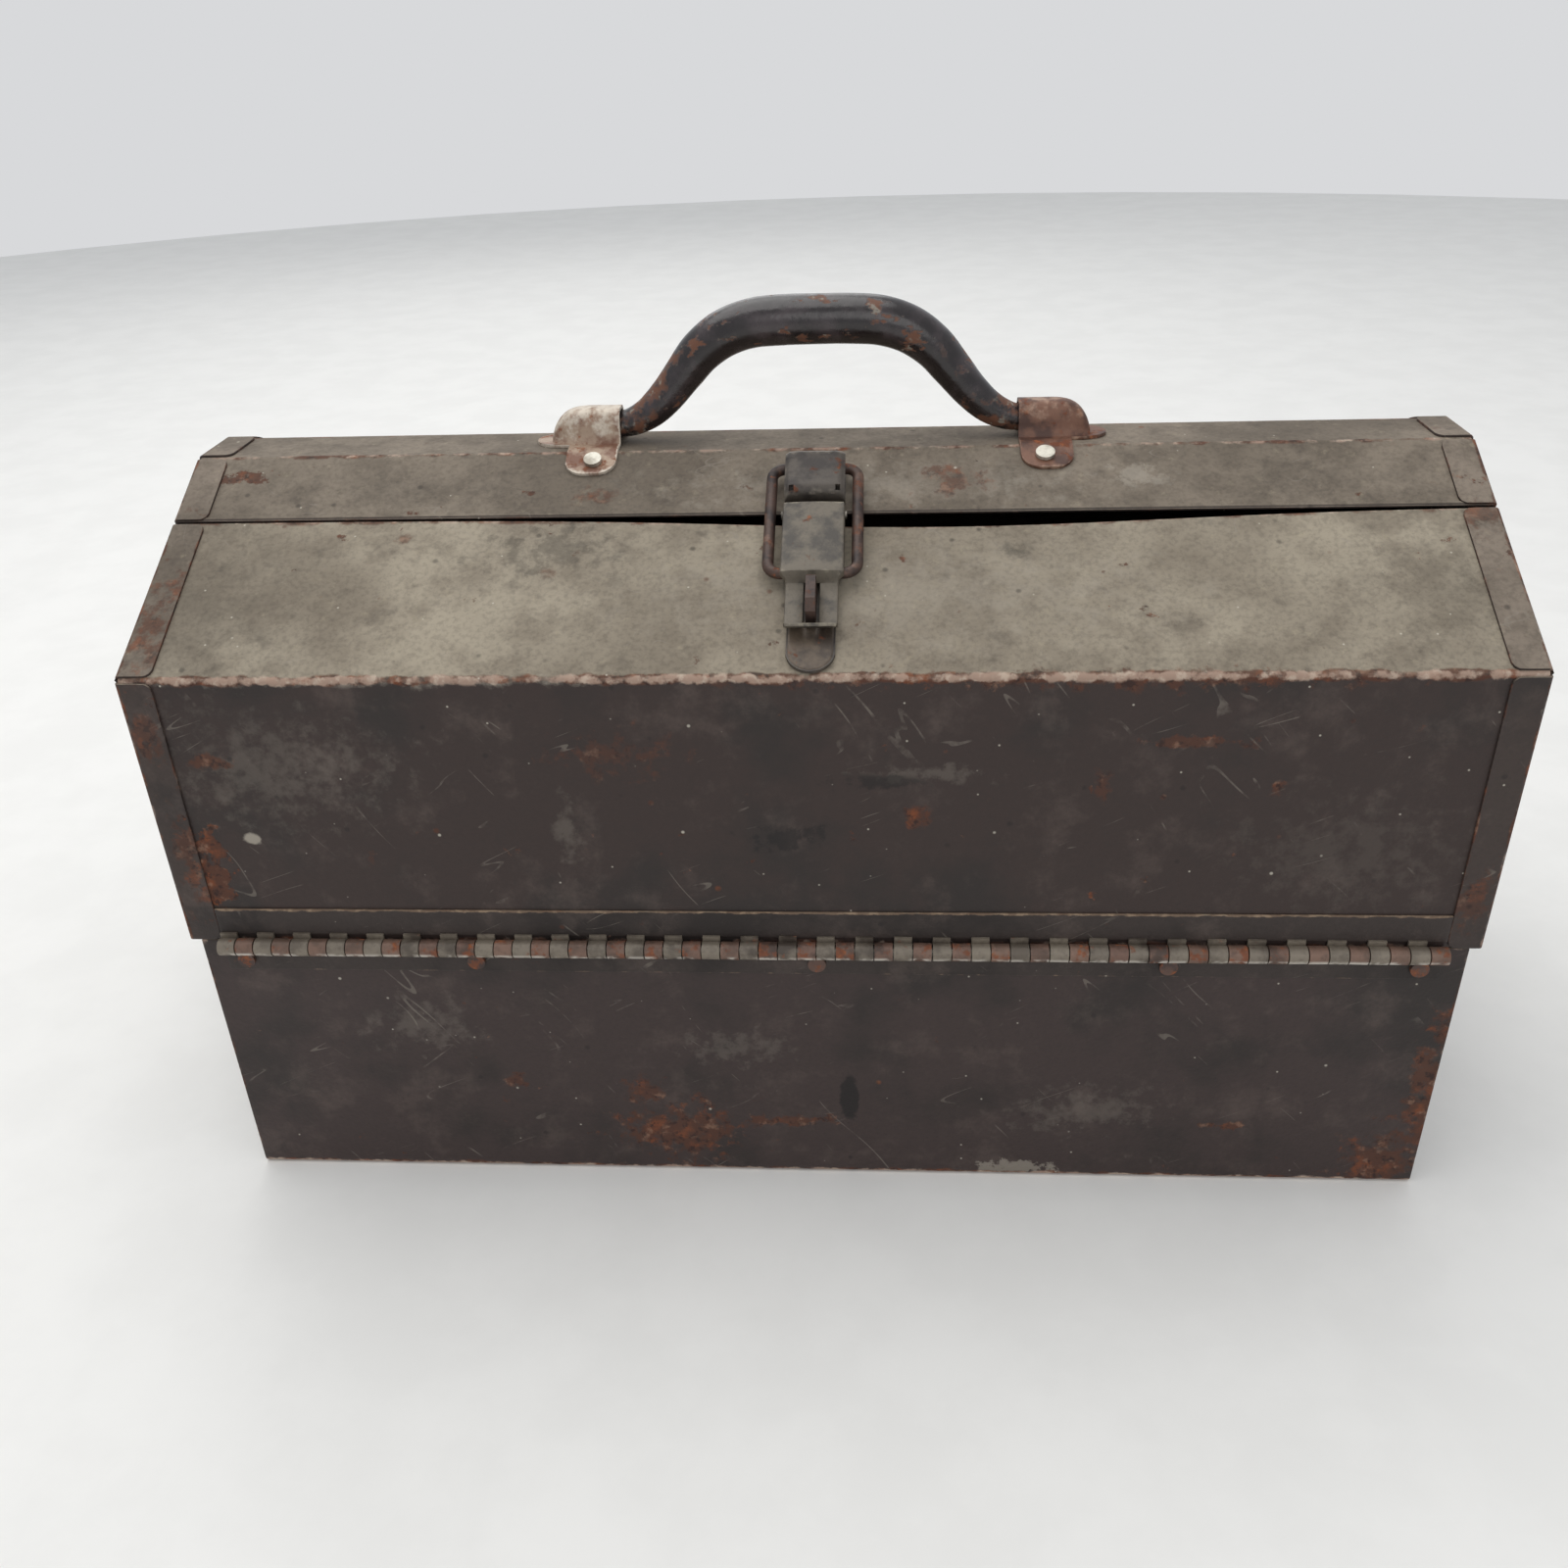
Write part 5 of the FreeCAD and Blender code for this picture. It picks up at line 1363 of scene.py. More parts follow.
@dataclass
class EndCap:
    """Pressed end of a cover: a plate whose tabs fold over the sheet.

    Attributes:
        name: Name of the piece.
        side: -1 for the left end, 1 for the right end.
        outline: (y, z) corners of the plate, clockwise as seen from +X.
        tabs: Which sides of the outline carry a tab, by index, with the slit at each end.
        half_width: Place of the outer face.
        width: Width of a tab.
        metal: Thickness.
        fold: Radius of the folds.
        round: Radius of the tabs' inner corners.
        rim: Width of the worn ring round the plate.
    """

    name: str
    side: int
    outline: list[Spot]
    tabs: dict[int, tuple[float, float]]
    half_width: float
    width: float
    metal: float = 0.9
    fold: float = 1.5
    round: float = 3.0
    rim: float = 2.6

    def tab_rows(self, start: Vector, end: Vector, inward: Vector) -> list[list[Point]]:
        """Return the rows of one tab, from its place on the plate to its inner edge.

        Args:
            start: First end of the fold, as (y, z).
            end: Other end of the fold.
            inward: Direction to the inside of the plate.

        Returns:
            Rows of points.
        """
        length = (end - start).length
        along = (end - start).normalized()
        shares = [place / length for place in spread(0.0, length, 6.0, (1.2, 3.0))]
        levels = [(0.0, self.fold)]
        for step in range(1, 6):
            turn = math.radians(18 * step)
            levels.append((self.fold - self.fold * math.cos(turn),
                           self.fold - self.fold * math.sin(turn)))
        flat = self.width - self.fold
        for place in spread(0.0, flat, 2.2, (0.6, 1.6))[1:]:
            levels.append((self.fold + place, 0.0))
        rows = []
        for depth, inset in levels:
            gap = max(0.0, self.round - (self.width - depth))
            trim = self.round - math.sqrt(max(self.round ** 2 - gap ** 2, 0.0))
            row = []
            for share in shares:
                spot = start + along * (trim + (length - 2 * trim) * share) + inward * inset
                row.append(((self.half_width - depth) * self.side, spot.x, spot.y))
            rows.append(row)
        return rows

    def set_back(self, index: int) -> Vector:
        """Return a corner of the plate, moved in by the folds of the tabs beside it.

        Args:
            index: Which corner of the outline.

        Returns:
            The corner as (y, z).
        """
        count = len(self.outline)
        before, corner, after = (Vector(self.outline[(index + step) % count])
                                 for step in (-1, 0, 1))
        into, out = (corner - before).normalized(), (after - corner).normalized()
        first = self.fold if (index - 1) % count in self.tabs else 0.0
        second = self.fold if index in self.tabs else 0.0
        lines = Matrix(((into.y, -into.x), (out.y, -out.x)))
        return corner + lines.inverted() @ Vector((first, second))

    def build(self) -> bpy.types.Object:
        """Build the cap.

        Returns:
            The finished cap.
        """
        centre = sum((Vector(corner) for corner in self.outline),
                     Vector((0, 0))) / len(self.outline)
        points: list[Point] = []
        faces: list[tuple[int, ...]] = []
        wear: list[float] = []
        rim: list[int] = []
        count = len(self.outline)
        for index in range(count):
            start, end = Vector(self.outline[index]), Vector(self.outline[(index + 1) % count])
            held = self.set_back(index)
            rim.append(len(points))
            points.append((self.half_width * self.side, held.x, held.y))
            wear.append(0.6)
            if index not in self.tabs:
                continue
            along = (end - start).normalized()
            inward = Vector((-along.y, along.x))
            inward *= math.copysign(1.0, inward.dot(centre - start))
            first, last = self.tabs[index]
            rows = self.tab_rows(start + along * first, end - along * last, inward)
            more, quads = weave(rows)
            base = len(points)
            points += more
            faces += [tuple(base + corner for corner in quad) for quad in quads]
            rim += list(range(base, base + len(rows[0])))
            wide = len(rows[0])
            for row_index in range(len(rows)):
                depth = self.half_width - abs(rows[row_index][0][0])
                worn = max(0.95 * fade(depth - 0.7, 1.7), 0.8 * fade(self.width - depth, 1.0))
                for column in range(wide):
                    tip = min(column, wide - 1 - column)
                    wear.append(max(worn, 0.7 if tip == 0 else 0.3 if tip == 1 else 0.0))
        faces.append(tuple(rim))
        if self.side < 0:
            faces = [face[::-1] for face in faces]
        piece = make_piece(self.name, points, faces, wear)
        self.face_out(piece)
        return give_metal(piece, self.metal, 0.15)

    def face_out(self, piece: bpy.types.Object) -> None:
        """Turn every face outwards and give the plate a ring of worn metal.

        Args:
            piece: The open cap.
        """
        with editing(piece) as shape:
            bmesh.ops.recalc_face_normals(shape, faces=shape.faces)
            plate = max(shape.faces, key=lambda face: face.calc_area())
            if plate.normal.x * self.side < 0:
                bmesh.ops.reverse_faces(shape, faces=shape.faces)
            layer = shape.verts.layers.float["wear"]
            bmesh.ops.inset_region(
                shape, faces=[plate], thickness=self.rim * MM, use_even_offset=False)
            for vert in plate.verts:
                vert[layer] = 0.0


@dataclass
class Covers:
    """Both halves of the gabled lid with their sheets, end caps and hem.

    Attributes:
        gable: Section of the box.
        bow: How far knocks have pushed the front cover's upper edge in.
        bow_x: Middle of that bow.
        bow_reach: How far it spreads along X.
        bow_start: Where it starts, measured up the slope.
        hem: Radius of the rolled edge of the rear cover.
    """

    gable: Gable
    bow: float = 5.5
    bow_x: float = 45.0
    bow_reach: float = 105.0
    bow_start: float = 20.0
    hem: float = 0.95

    def free_wall(self, x: float, z: float) -> tuple[float, float]:
        """Return how free a place is to dent, along X and up the wall."""
        g = self.gable
        return (ramp(g.half_width - 14.0, abs(x), 16.0),
                ramp(g.fold - 6, z, 14.0) * ramp(z, 128.0, 14.0))

    def front_warp(self, spot: Vector) -> Vector:
        """Bow the front cover's upper edge, and dent its fold and wall."""
        g = self.gable
        x, y, z = spot
        edge, _ = self.free_wall(x, z)
        near_fold = fade(math.hypot(y + g.half_depth, z - g.fold), 7.0)
        wave = cloud(x, 0, 0, 26.0, 2.0) + 0.5 * cloud(x, 0, 0, 9.0, 6.0)
        y += near_fold * (0.5 + 0.5 * wave) * 0.8 * edge
        z -= near_fold * (0.5 - 0.5 * wave) * 0.9 * edge
        if z > g.fold:
            along = (y + g.half_depth) * g.slope.x + (z - g.fold) * g.slope.y
            share = max(0.0, (along - self.bow_start) / (g.seam - 0.5 - self.bow_start))
            middle = fade(x - self.bow_x, self.bow_reach)
            bowed = self.bow * middle * share ** 1.5
            sunk = 0.5 * share * middle
            y -= bowed * g.slope.x - sunk * g.slope.y
            z -= bowed * g.slope.y + sunk * g.slope.x
        _, calm = self.free_wall(x, z)
        dent = 0.6 + 0.55 * cloud(x, 0, z, 66.0, 12.0) + 0.18 * cloud(x, 0, z, 19.0, 3.0)
        return Vector((x, y + dent * calm * edge, z))

    def rear_warp(self, spot: Vector) -> Vector:
        """Dent the rear wall a little."""
        x, y, z = spot
        edge, calm = self.free_wall(x, z)
        if y < 0:
            calm = 0.0
        dent = 0.5 + 0.5 * cloud(x, 0, z, 70.0, 22.0)
        return Vector((x, y - dent * calm * edge, z))

    def build(self, finishes: Finishes) -> None:
        """Build and dress both covers.

        Args:
            finishes: Materials of the box.
        """
        g = self.gable
        inner = g.half_width - g.metal - 0.1
        front = FoldPath(((-g.half_depth, g.cover_base), (-g.half_depth, g.fold),
                          g.point(g.seam - 0.5, 0)))
        sheet = sweep_sheet("front_cover_sheet", front, inner, g.metal, self.front_warp, 4.0)
        install(sheet, "front_cover", finishes.cover, ["front_cover_panel"])
        rear = FoldPath((g.point(g.seam + 0.5, 0), (-g.roof_half, g.roof), (g.roof_half, g.roof),
                         (g.half_depth, g.fold), (g.half_depth, g.cover_base)))
        sheet = sweep_sheet("rear_cover_sheet", rear, inner, g.metal, self.rear_warp, 4.0)
        install(sheet, "rear_cover", finishes.lid, ["rear_cover_panel"])
        self.build_hem(finishes)
        self.build_caps(finishes)

    def build_hem(self, finishes: Finishes) -> None:
        """Roll the rear cover's edge at the seam.

        Args:
            finishes: Materials of the box.
        """
        g = self.gable
        half = g.half_width - g.metal - 0.3
        y, z = g.point(g.seam + 0.5 + self.hem * 1.2, -self.hem * 0.55)
        path = [Vector((x, y, z)) for x in spread(-half, half, 6.0)]
        radii = [self.hem * (1.0 + 0.12 * cloud(p.x, 0, 0, 9.0, 1.0)) for p in path]
        points, faces = tube(path, radii, Vector((0, *g.slope)), 12)
        wear = [0.42 + 0.5 * abs(cloud(p[0], 0, 0, 12.0, 5.0)) for p in points]
        roll = settle_mesh(make_piece("rear_cover_hem", points, faces, wear))
        install(roll, "rear_cover", finishes.lid)

    def build_caps(self, finishes: Finishes) -> None:
        """Build the four end caps.

        Args:
            finishes: Materials of the box.
        """
        g = self.gable
        up = g.slope
        outer = g.half_depth + g.metal
        shoulder = g.fold + g.metal * (1 - up.y) / up.x
        ridge = g.roof_half + g.metal * (1 - up.x) / up.y
        top_front, top_rear = g.point(g.seam - 0.5, g.metal), g.point(g.seam + 0.5, g.metal)
        front = [(-outer, g.cover_base), (-outer, shoulder), top_front,
                 (top_front[0], g.cover_base)]
        rear = [(top_rear[0], g.cover_base), top_rear, (-ridge, g.roof + g.metal),
                (ridge, g.roof + g.metal),
                (outer, shoulder), (outer, g.cover_base)]
        for name, side in (("left", -1), ("right", 1)):
            cap = EndCap(f"front_cap_{name}", side, front, {0: (0.2, 1.6), 1: (1.6, 1.0)},
                         g.half_width, g.tab)
            install(cap.build(), "front_cover", finishes.cap,
                    [f"front_cover_end_{name}"])
            tabs = {1: (0.2, 1.6), 2: (1.2, 1.2), 3: (1.6, 1.6), 4: (1.6, 0.2)}
            cap = EndCap(f"rear_cap_{name}", side, rear, tabs, g.half_width, g.tab)
            install(cap.build(), "rear_cover", finishes.cap,
                    [f"rear_cover_end_{name}"])


@dataclass
class Hinges:
    """The two continuous hinges and the rivets that hold them.

    Attributes:
        gable: Section of the box.
        radius: Radius of a knuckle.
        pitch: Width of a knuckle with its gap.
        gap: Gap between neighbouring knuckles.
        metal: Thickness of a leaf.
        rise: Upper leaf's height above the pin.
        drop: Lower leaf's height below it.
        rivet_drop: Height of the rivets below the pin.
        rivet_places: Places of the rivets along X.
        head: Radius of a rivet's head.
        head_rise: Height of a rivet's head.
    """

    gable: Gable
    radius: float = 3.24
    pitch: float = 6.8
    gap: float = 0.45
    metal: float = 1.0
    rise: float = 14.5
    drop: float = 12.2
    rivet_drop: float = 7.2
    rivet_places: tuple[float, ...] = (-210.0, -124.0, 0.0, 124.0, 210.0)
    head: float = 3.2
    head_rise: float = 1.3

    def build(self, finishes: Finishes) -> None:
        """Build and dress both hinges.

        Args:
            finishes: Materials of the box.
        """
        for row, side in (("front", -1), ("rear", 1)):
            joint = next(j for j in frame["joints"] if j["name"] == f"{row}_cover_hinge")
            pin_y, pin_z = joint["pos_m"][1] / MM, joint["pos_m"][2] / MM
            for level, body in (("upper", f"{row}_cover"), ("lower", "case")):
                node = f"{row}_hinge_{level}_leaf"
                self.build_leaf(node, side, level == "upper", pin_z, body, finishes)
                low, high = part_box(node)
                pairs = round((high.x - low.x) / MM / (2 * self.pitch))
                first = low.x / MM + self.pitch * (0.5 if level == "upper" else 1.5)
                leaf_row = KnuckleRow(self.radius, self.pitch - self.gap, 2 * self.pitch, pairs,
                                      self.radius + 1.3, self.metal, side, level == "upper")
                finish = finishes.knuckle if level == "upper" else finishes.rusty_knuckle
                row_piece = leaf_row.grow(f"{row}_{level}_knuckles", [(first, pin_y, pin_z)],
                                          finish)
                install(row_piece, body, finish)
            dress(f"{row}_hinge_pin", finishes.pin)
            heads = RivetSet(self.head, self.head_rise, (-math.pi / 2 * side, 0, 0))
            face = (self.gable.half_depth + self.metal) * side
            seeds = [(x, face, pin_z - self.rivet_drop) for x in self.rivet_places]
            rivets = heads.grow(f"{row}_hinge_heads", seeds, finishes.dark_rivet)
            install(rivets, "case", finishes.dark_rivet)
            dress(f"{row}_hinge_rivets", finishes.dark_rivet)

    def build_leaf(self, node: str, side: int, upper: bool, pin_z: float, body: str,
                   finishes: Finishes) -> None:
        """Build the flat strip of one leaf.

        Args:
            node: CAD node that the strip stands for.
            side: -1 on the front, 1 on the rear.
            upper: Whether it lies above the pin.
            pin_z: Height of the pin.
            body: Body it rides on.
            finishes: Materials of the box.
        """
        low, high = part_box(node)
        near = pin_z + (self.radius + 0.5) * (1 if upper else -1)
        far = pin_z + (self.rise if upper else -self.drop)
        face = (self.gable.half_depth + self.metal) * side
        across = spread(low.x / MM, high.x / MM, 7.0)
        levels = spread(min(near, far), max(near, far), 2.0, (0.5, 1.2))
        rows = [[(x, face + 0.06 * cloud(x, 0, z, 17.0, side) - 0.08 * side, z) for x in across]
                for z in levels]
        worn = 0.95 if upper else 0.5
        wear = [worn * fade(abs(z - far), 0.8) for z in levels for _ in across]
        points, faces = weave(rows, flip=side > 0)
        strip = give_metal(make_piece(f"{node}_strip", points, faces, wear), self.metal - 0.1, 0.2)
        install(strip, body, finishes.leaf, [node])


@dataclass
class Latch:
    """Draw latch: base, lever, wire bail, rolled keeper and padlock eye.

    Attributes:
        gable: Section of the box.
        base_half: Half width of the base.
        base_metal: Thickness of the base.
        lever_half: Half width of the lever's cover.
        grip_half: Half width of the lever's grip.
        lever_metal: Thickness of the lever.
        lever_top: Height of the lever's cover.
        grip_top: Height of its grip.
        grip_end: Lower end of the grip.
        step: Where the cover steps down to the grip.
        lever_end: Upper end of the lever.
        slot: Half width and ends of the slot in the grip.
        bail_wire: Radius of the bail's wire.
        bail_half: Half width of the bail.
        bail_ends: Its pivot and its bar, measured up the slope.
        bail_above: Height of the bail.
        bail_round: Radius of its corners.
        keeper_half: Half width of the keeper.
        keeper_ends: Its two ends up the slope.
        keeper_high: Height of the keeper.
        keeper_metal: Thickness of the keeper.
    """

    gable: Gable
    base_half: float = 8.0
    base_metal: float = 1.2
    lever_half: float = 10.6
    grip_half: float = 8.8
    lever_metal: float = 1.2
    lever_top: float = 8.6
    grip_top: float = 4.4
    grip_end: float = 16.5
    step: float = 36.5
    lever_end: float = 68.7
    slot: tuple[float, float, float] = (2.9, 17.9, 35.7)
    bail_wire: float = 2.0
    bail_half: float = 15.0
    bail_ends: tuple[float, float] = (39.6, 88.3)
    bail_above: float = 5.0
    bail_round: float = 4.5
    keeper_half: float = 10.5
    keeper_ends: tuple[float, float] = (73.8, 93.4)
    keeper_high: float = 9.4
    keeper_metal: float = 1.2

    def build(self, finishes: Finishes) -> None:
        """Build and dress the latch.

        Args:
            finishes: Materials of the box.
        """
        install(self.lever(), "latch_lever", finishes.latch, ["latch_lever"])
        install(self.bail(), "latch_bail", finishes.wire, ["latch_bail"])
        install(self.keeper(), "rear_cover", finishes.catch, ["latch_keeper"])
        install(self.base(), "front_cover", finishes.nose, ["latch_base_rivets"])
        dress("latch_base", finishes.catch)
        dress("padlock_staple", finishes.wire)
        dress("latch_lever_pin", finishes.pin)
        dress("latch_keeper_rivets", finishes.dark_rivet)

    def lay_all(self, rows: Sequence[Sequence[Point]]) -> list[list[Point]]:
        """Lay rows of (x, along, above) on the front slope."""
        return [[self.gable.lay(*spot) for spot in row] for row in rows]

    def base(self) -> bpy.types.Object:
        """Build the rounded nose that shows below the lever.

        Returns:
            The nose plate.
        """
        radius = self.base_half - 0.6
        centre = radius + 1.9
        rows = []
        for share, drop in ((1.0, 0.0), (0.97, 0.35), (0.9, 0.5), (0.6, 0.42), (0.3, 0.4)):
            above = self.base_metal + drop * 0.55
            wide = radius * share
            turns = [math.pi + math.pi * step / 28 for step in range(29)]
            rows.append([(-wide, 22.0, above)] + [
                (wide * math.cos(turn), centre + wide * math.sin(turn), above) for turn in turns
            ] + [(wide, 22.0, above)])
        rows.append([(0.0, centre + (12.0 if step in (0, 30) else 0.0), self.base_metal + 0.2)
                     for step in range(31)])
        points, faces = weave(self.lay_all(rows))
        wear = [0.8 if index < 62 else 0.1 for index in range(len(points))]
        piece = make_piece("latch_base_nose", points, faces, wear)
        with editing(piece) as shape:
            bmesh.ops.remove_doubles(shape, verts=shape.verts, dist=1e-6)
        return give_metal(piece, 0.5, 0.0)

    def lever_height(self, along: float) -> float:
        """Return how high the lever's skin stands at a place along it."""
        if along < self.grip_end + 1.6:
            return self.grip_top + 2.7 * (1 - (along - self.grip_end) / 1.6) ** 1.4
        share = ramp(along, self.step - 1.1, 2.4)
        smooth = share * share * (3 - 2 * share)
        return self.grip_top + (self.lever_top - self.grip_top) * smooth

    def lever(self) -> bpy.types.Object:
        """Build the lever: a cover with side flanges, a step and a slotted grip with a lip.

        Returns:
            The lever.
        """
        slot_half, slot_start, slot_end = self.slot
        lows = [self.grip_end, self.grip_end + 0.7, slot_start, slot_start + 1.6, 22, 26, 30, 33.5,
                slot_end, 36.4]
        highs = [37.6, 38.6, 40.5, 44, 49, 54, 59, 63, 66.5, 67.8, self.lever_end]
        grip_x = [-self.grip_half, -self.grip_half + 0.8, -6.0, -slot_half, -1.2, 1.2, slot_half,
                  6.0,
                  self.grip_half - 0.8, self.grip_half]
        drop = [0.0, 0.35, 1.6, 3.4, 5.4]
        points: list[Point] = []
        wear: list[float] = []
        faces: list[tuple[int, ...]] = []
        lines = []
        for along in lows + highs:
            above = self.lever_height(along)
            wide = self.lever_half if along > self.step + 0.5 else self.grip_half
            line = []
            crown = 0.35 * (1 if along > self.step else 0)
            for x in grip_x:
                reach = x / self.grip_half
                line.append(len(points))
                points.append(self.gable.lay(reach * (wide - 0.5), along,
                                             above + crown * (1 - reach * reach)))
                end = min(abs(along - self.lever_end), abs(along - self.grip_end),
                          abs(along - self.step - 1.2))
                wear.append(max(0.55 * fade(wide * (1 - abs(reach)), 1.3), 0.95 * fade(end, 1.2)))
            flanges = []
            for side in (-1, 1):
                depth = 5.4 if along > self.step + 0.5 else 1.5
                if 37 < along < 41:
                    depth = 2.2 + (along - 37) * 0.8
                flange = []
                for level in drop[1:]:
                    share = level / drop[-1]
                    out = wide - 0.5 + 0.5 * min(1.0, level / 0.5)
                    flange.append(len(points))
                    points.append(self.gable.lay(side * out, along, above - depth * share))
                    wear.append(0.6 * fade(level, 1.2))
                flanges.append(flange)
            lines.append((along, flanges[0][::-1] + line + flanges[1]))
        for (low, first), (high, second) in zip(lines, lines[1:]):
            for j in range(len(first) - 1):
                x_left = grip_x[j - 4] if 4 <= j < 4 + len(grip_x) - 1 else None
                inside = x_left is not None and -slot_half <= x_left < slot_half
                if inside and slot_start <= low and high <= slot_end:
                    continue
                faces.append((first[j], first[j + 1], second[j + 1], second[j]))
        piece = make_piece("latch_lever_skin", points, faces, wear)
        return give_metal(piece, self.lever_metal - 0.1, 0.25)

    def bail(self) -> bpy.types.Object:
        """Build the wire bail.

        Returns:
            The bail.
        """
        start, end = self.bail_ends
        inner = self.lever_half - self.lever_metal
        corners = [(-inner, start), (-self.bail_half, start), (-self.bail_half, end),
                   (self.bail_half, end), (self.bail_half, start), (inner, start)]
        path = [Vector(corners[0])]
        for before, corner, after in zip(corners, corners[1:], corners[2:]):
            here = Vector(corner)
            into = (Vector(before) - here).normalized() * self.bail_round
            out = (Vector(after) - here).normalized() * self.bail_round
            middle = here + into + out
            for step in range(FOLD_STEPS + 1):
                turn = math.pi / 2 * step / FOLD_STEPS
                path.append(middle - out * math.cos(turn) - into * math.sin(turn))
            if corner == (-self.bail_half, start) or corner == (self.bail_half, end):
                target = Vector(after)
                path += [path[-1].lerp(target, share) for share in (0.2, 0.4, 0.6)]
        path.append(Vector(corners[-1]))
        laid = [Vector(self.gable.lay(spot.x, spot.y, self.bail_above)) for spot in path]
        across = Vector((0, -self.gable.slope.y, self.gable.slope.x))
        radii = [self.bail_wire * (0.98 + 0.03 * cloud(p.x, p.y, p.z, 6.0, 8.0)) for p in laid]
        points, faces = tube(laid, radii, across, 14)
        wear = [0.3 + 0.4 * abs(cloud(*p, 7.0, 3.0)) for p in points]
        return settle_mesh(make_piece("latch_bail_wire", points, faces, wear))

    def keeper(self) -> bpy.types.Object:
        """Build the rolled keeper with rounded sides and a folded front.

        Returns:
            The keeper.
        """
        start, end = self.keeper_ends
        middle = self.keeper_high / 2
        section = [(end, self.keeper_high - 0.6, 0.9), (end - 1.2, self.keeper_high, 0.6),
                   (end - 4, self.keeper_high, 0.1)]
        for step in range(1, 4):
            section.append((end - 4 - (end - start - 8) * step / 4, self.keeper_high - 0.12, 0.05))
        for turn in range(90, -91, -15):
            angle = math.radians(turn)
            section.append((start + 3.8 * (1 - math.cos(angle)), middle + middle * math.sin(angle),
                            0.55 * fade(turn - 35, 25)))
        section.append((92.0, 0.0, 0.2))
        across = (-10.5, -10.2, -9.5, -8.9, -7.2, -4.8, -2.4, 0.0, 2.4, 4.8, 7.2, 8.9, 9.5, 10.2,
                  10.5)
        rows = []
        wear = []
        for along, above, worn in section:
            row = []
            for x in across:
                tuck = 1.3 * fade(self.keeper_half - abs(x), 0.9) if above > middle else 0.0
                tuck += 0.25 * fade(abs(abs(x) - 9.2), 0.5) if above > middle + 2 else 0.0
                row.append((x, along, above - tuck))
                wear.append(max(worn, 0.45 * fade(self.keeper_half - abs(x), 1.0)))
            rows.append(row)
        points, faces = weave(self.lay_all(rows), flip=True)
        wide = len(across) - 1
        holes = {step * wide + column for step in (7, 8) for column in (3, wide - 4)}
        faces = [face for index, face in enumerate(faces) if index not in holes]
        return give_metal(make_piece("latch_keeper_strip", points, faces, wear), self.keeper_metal,
                          0.3)


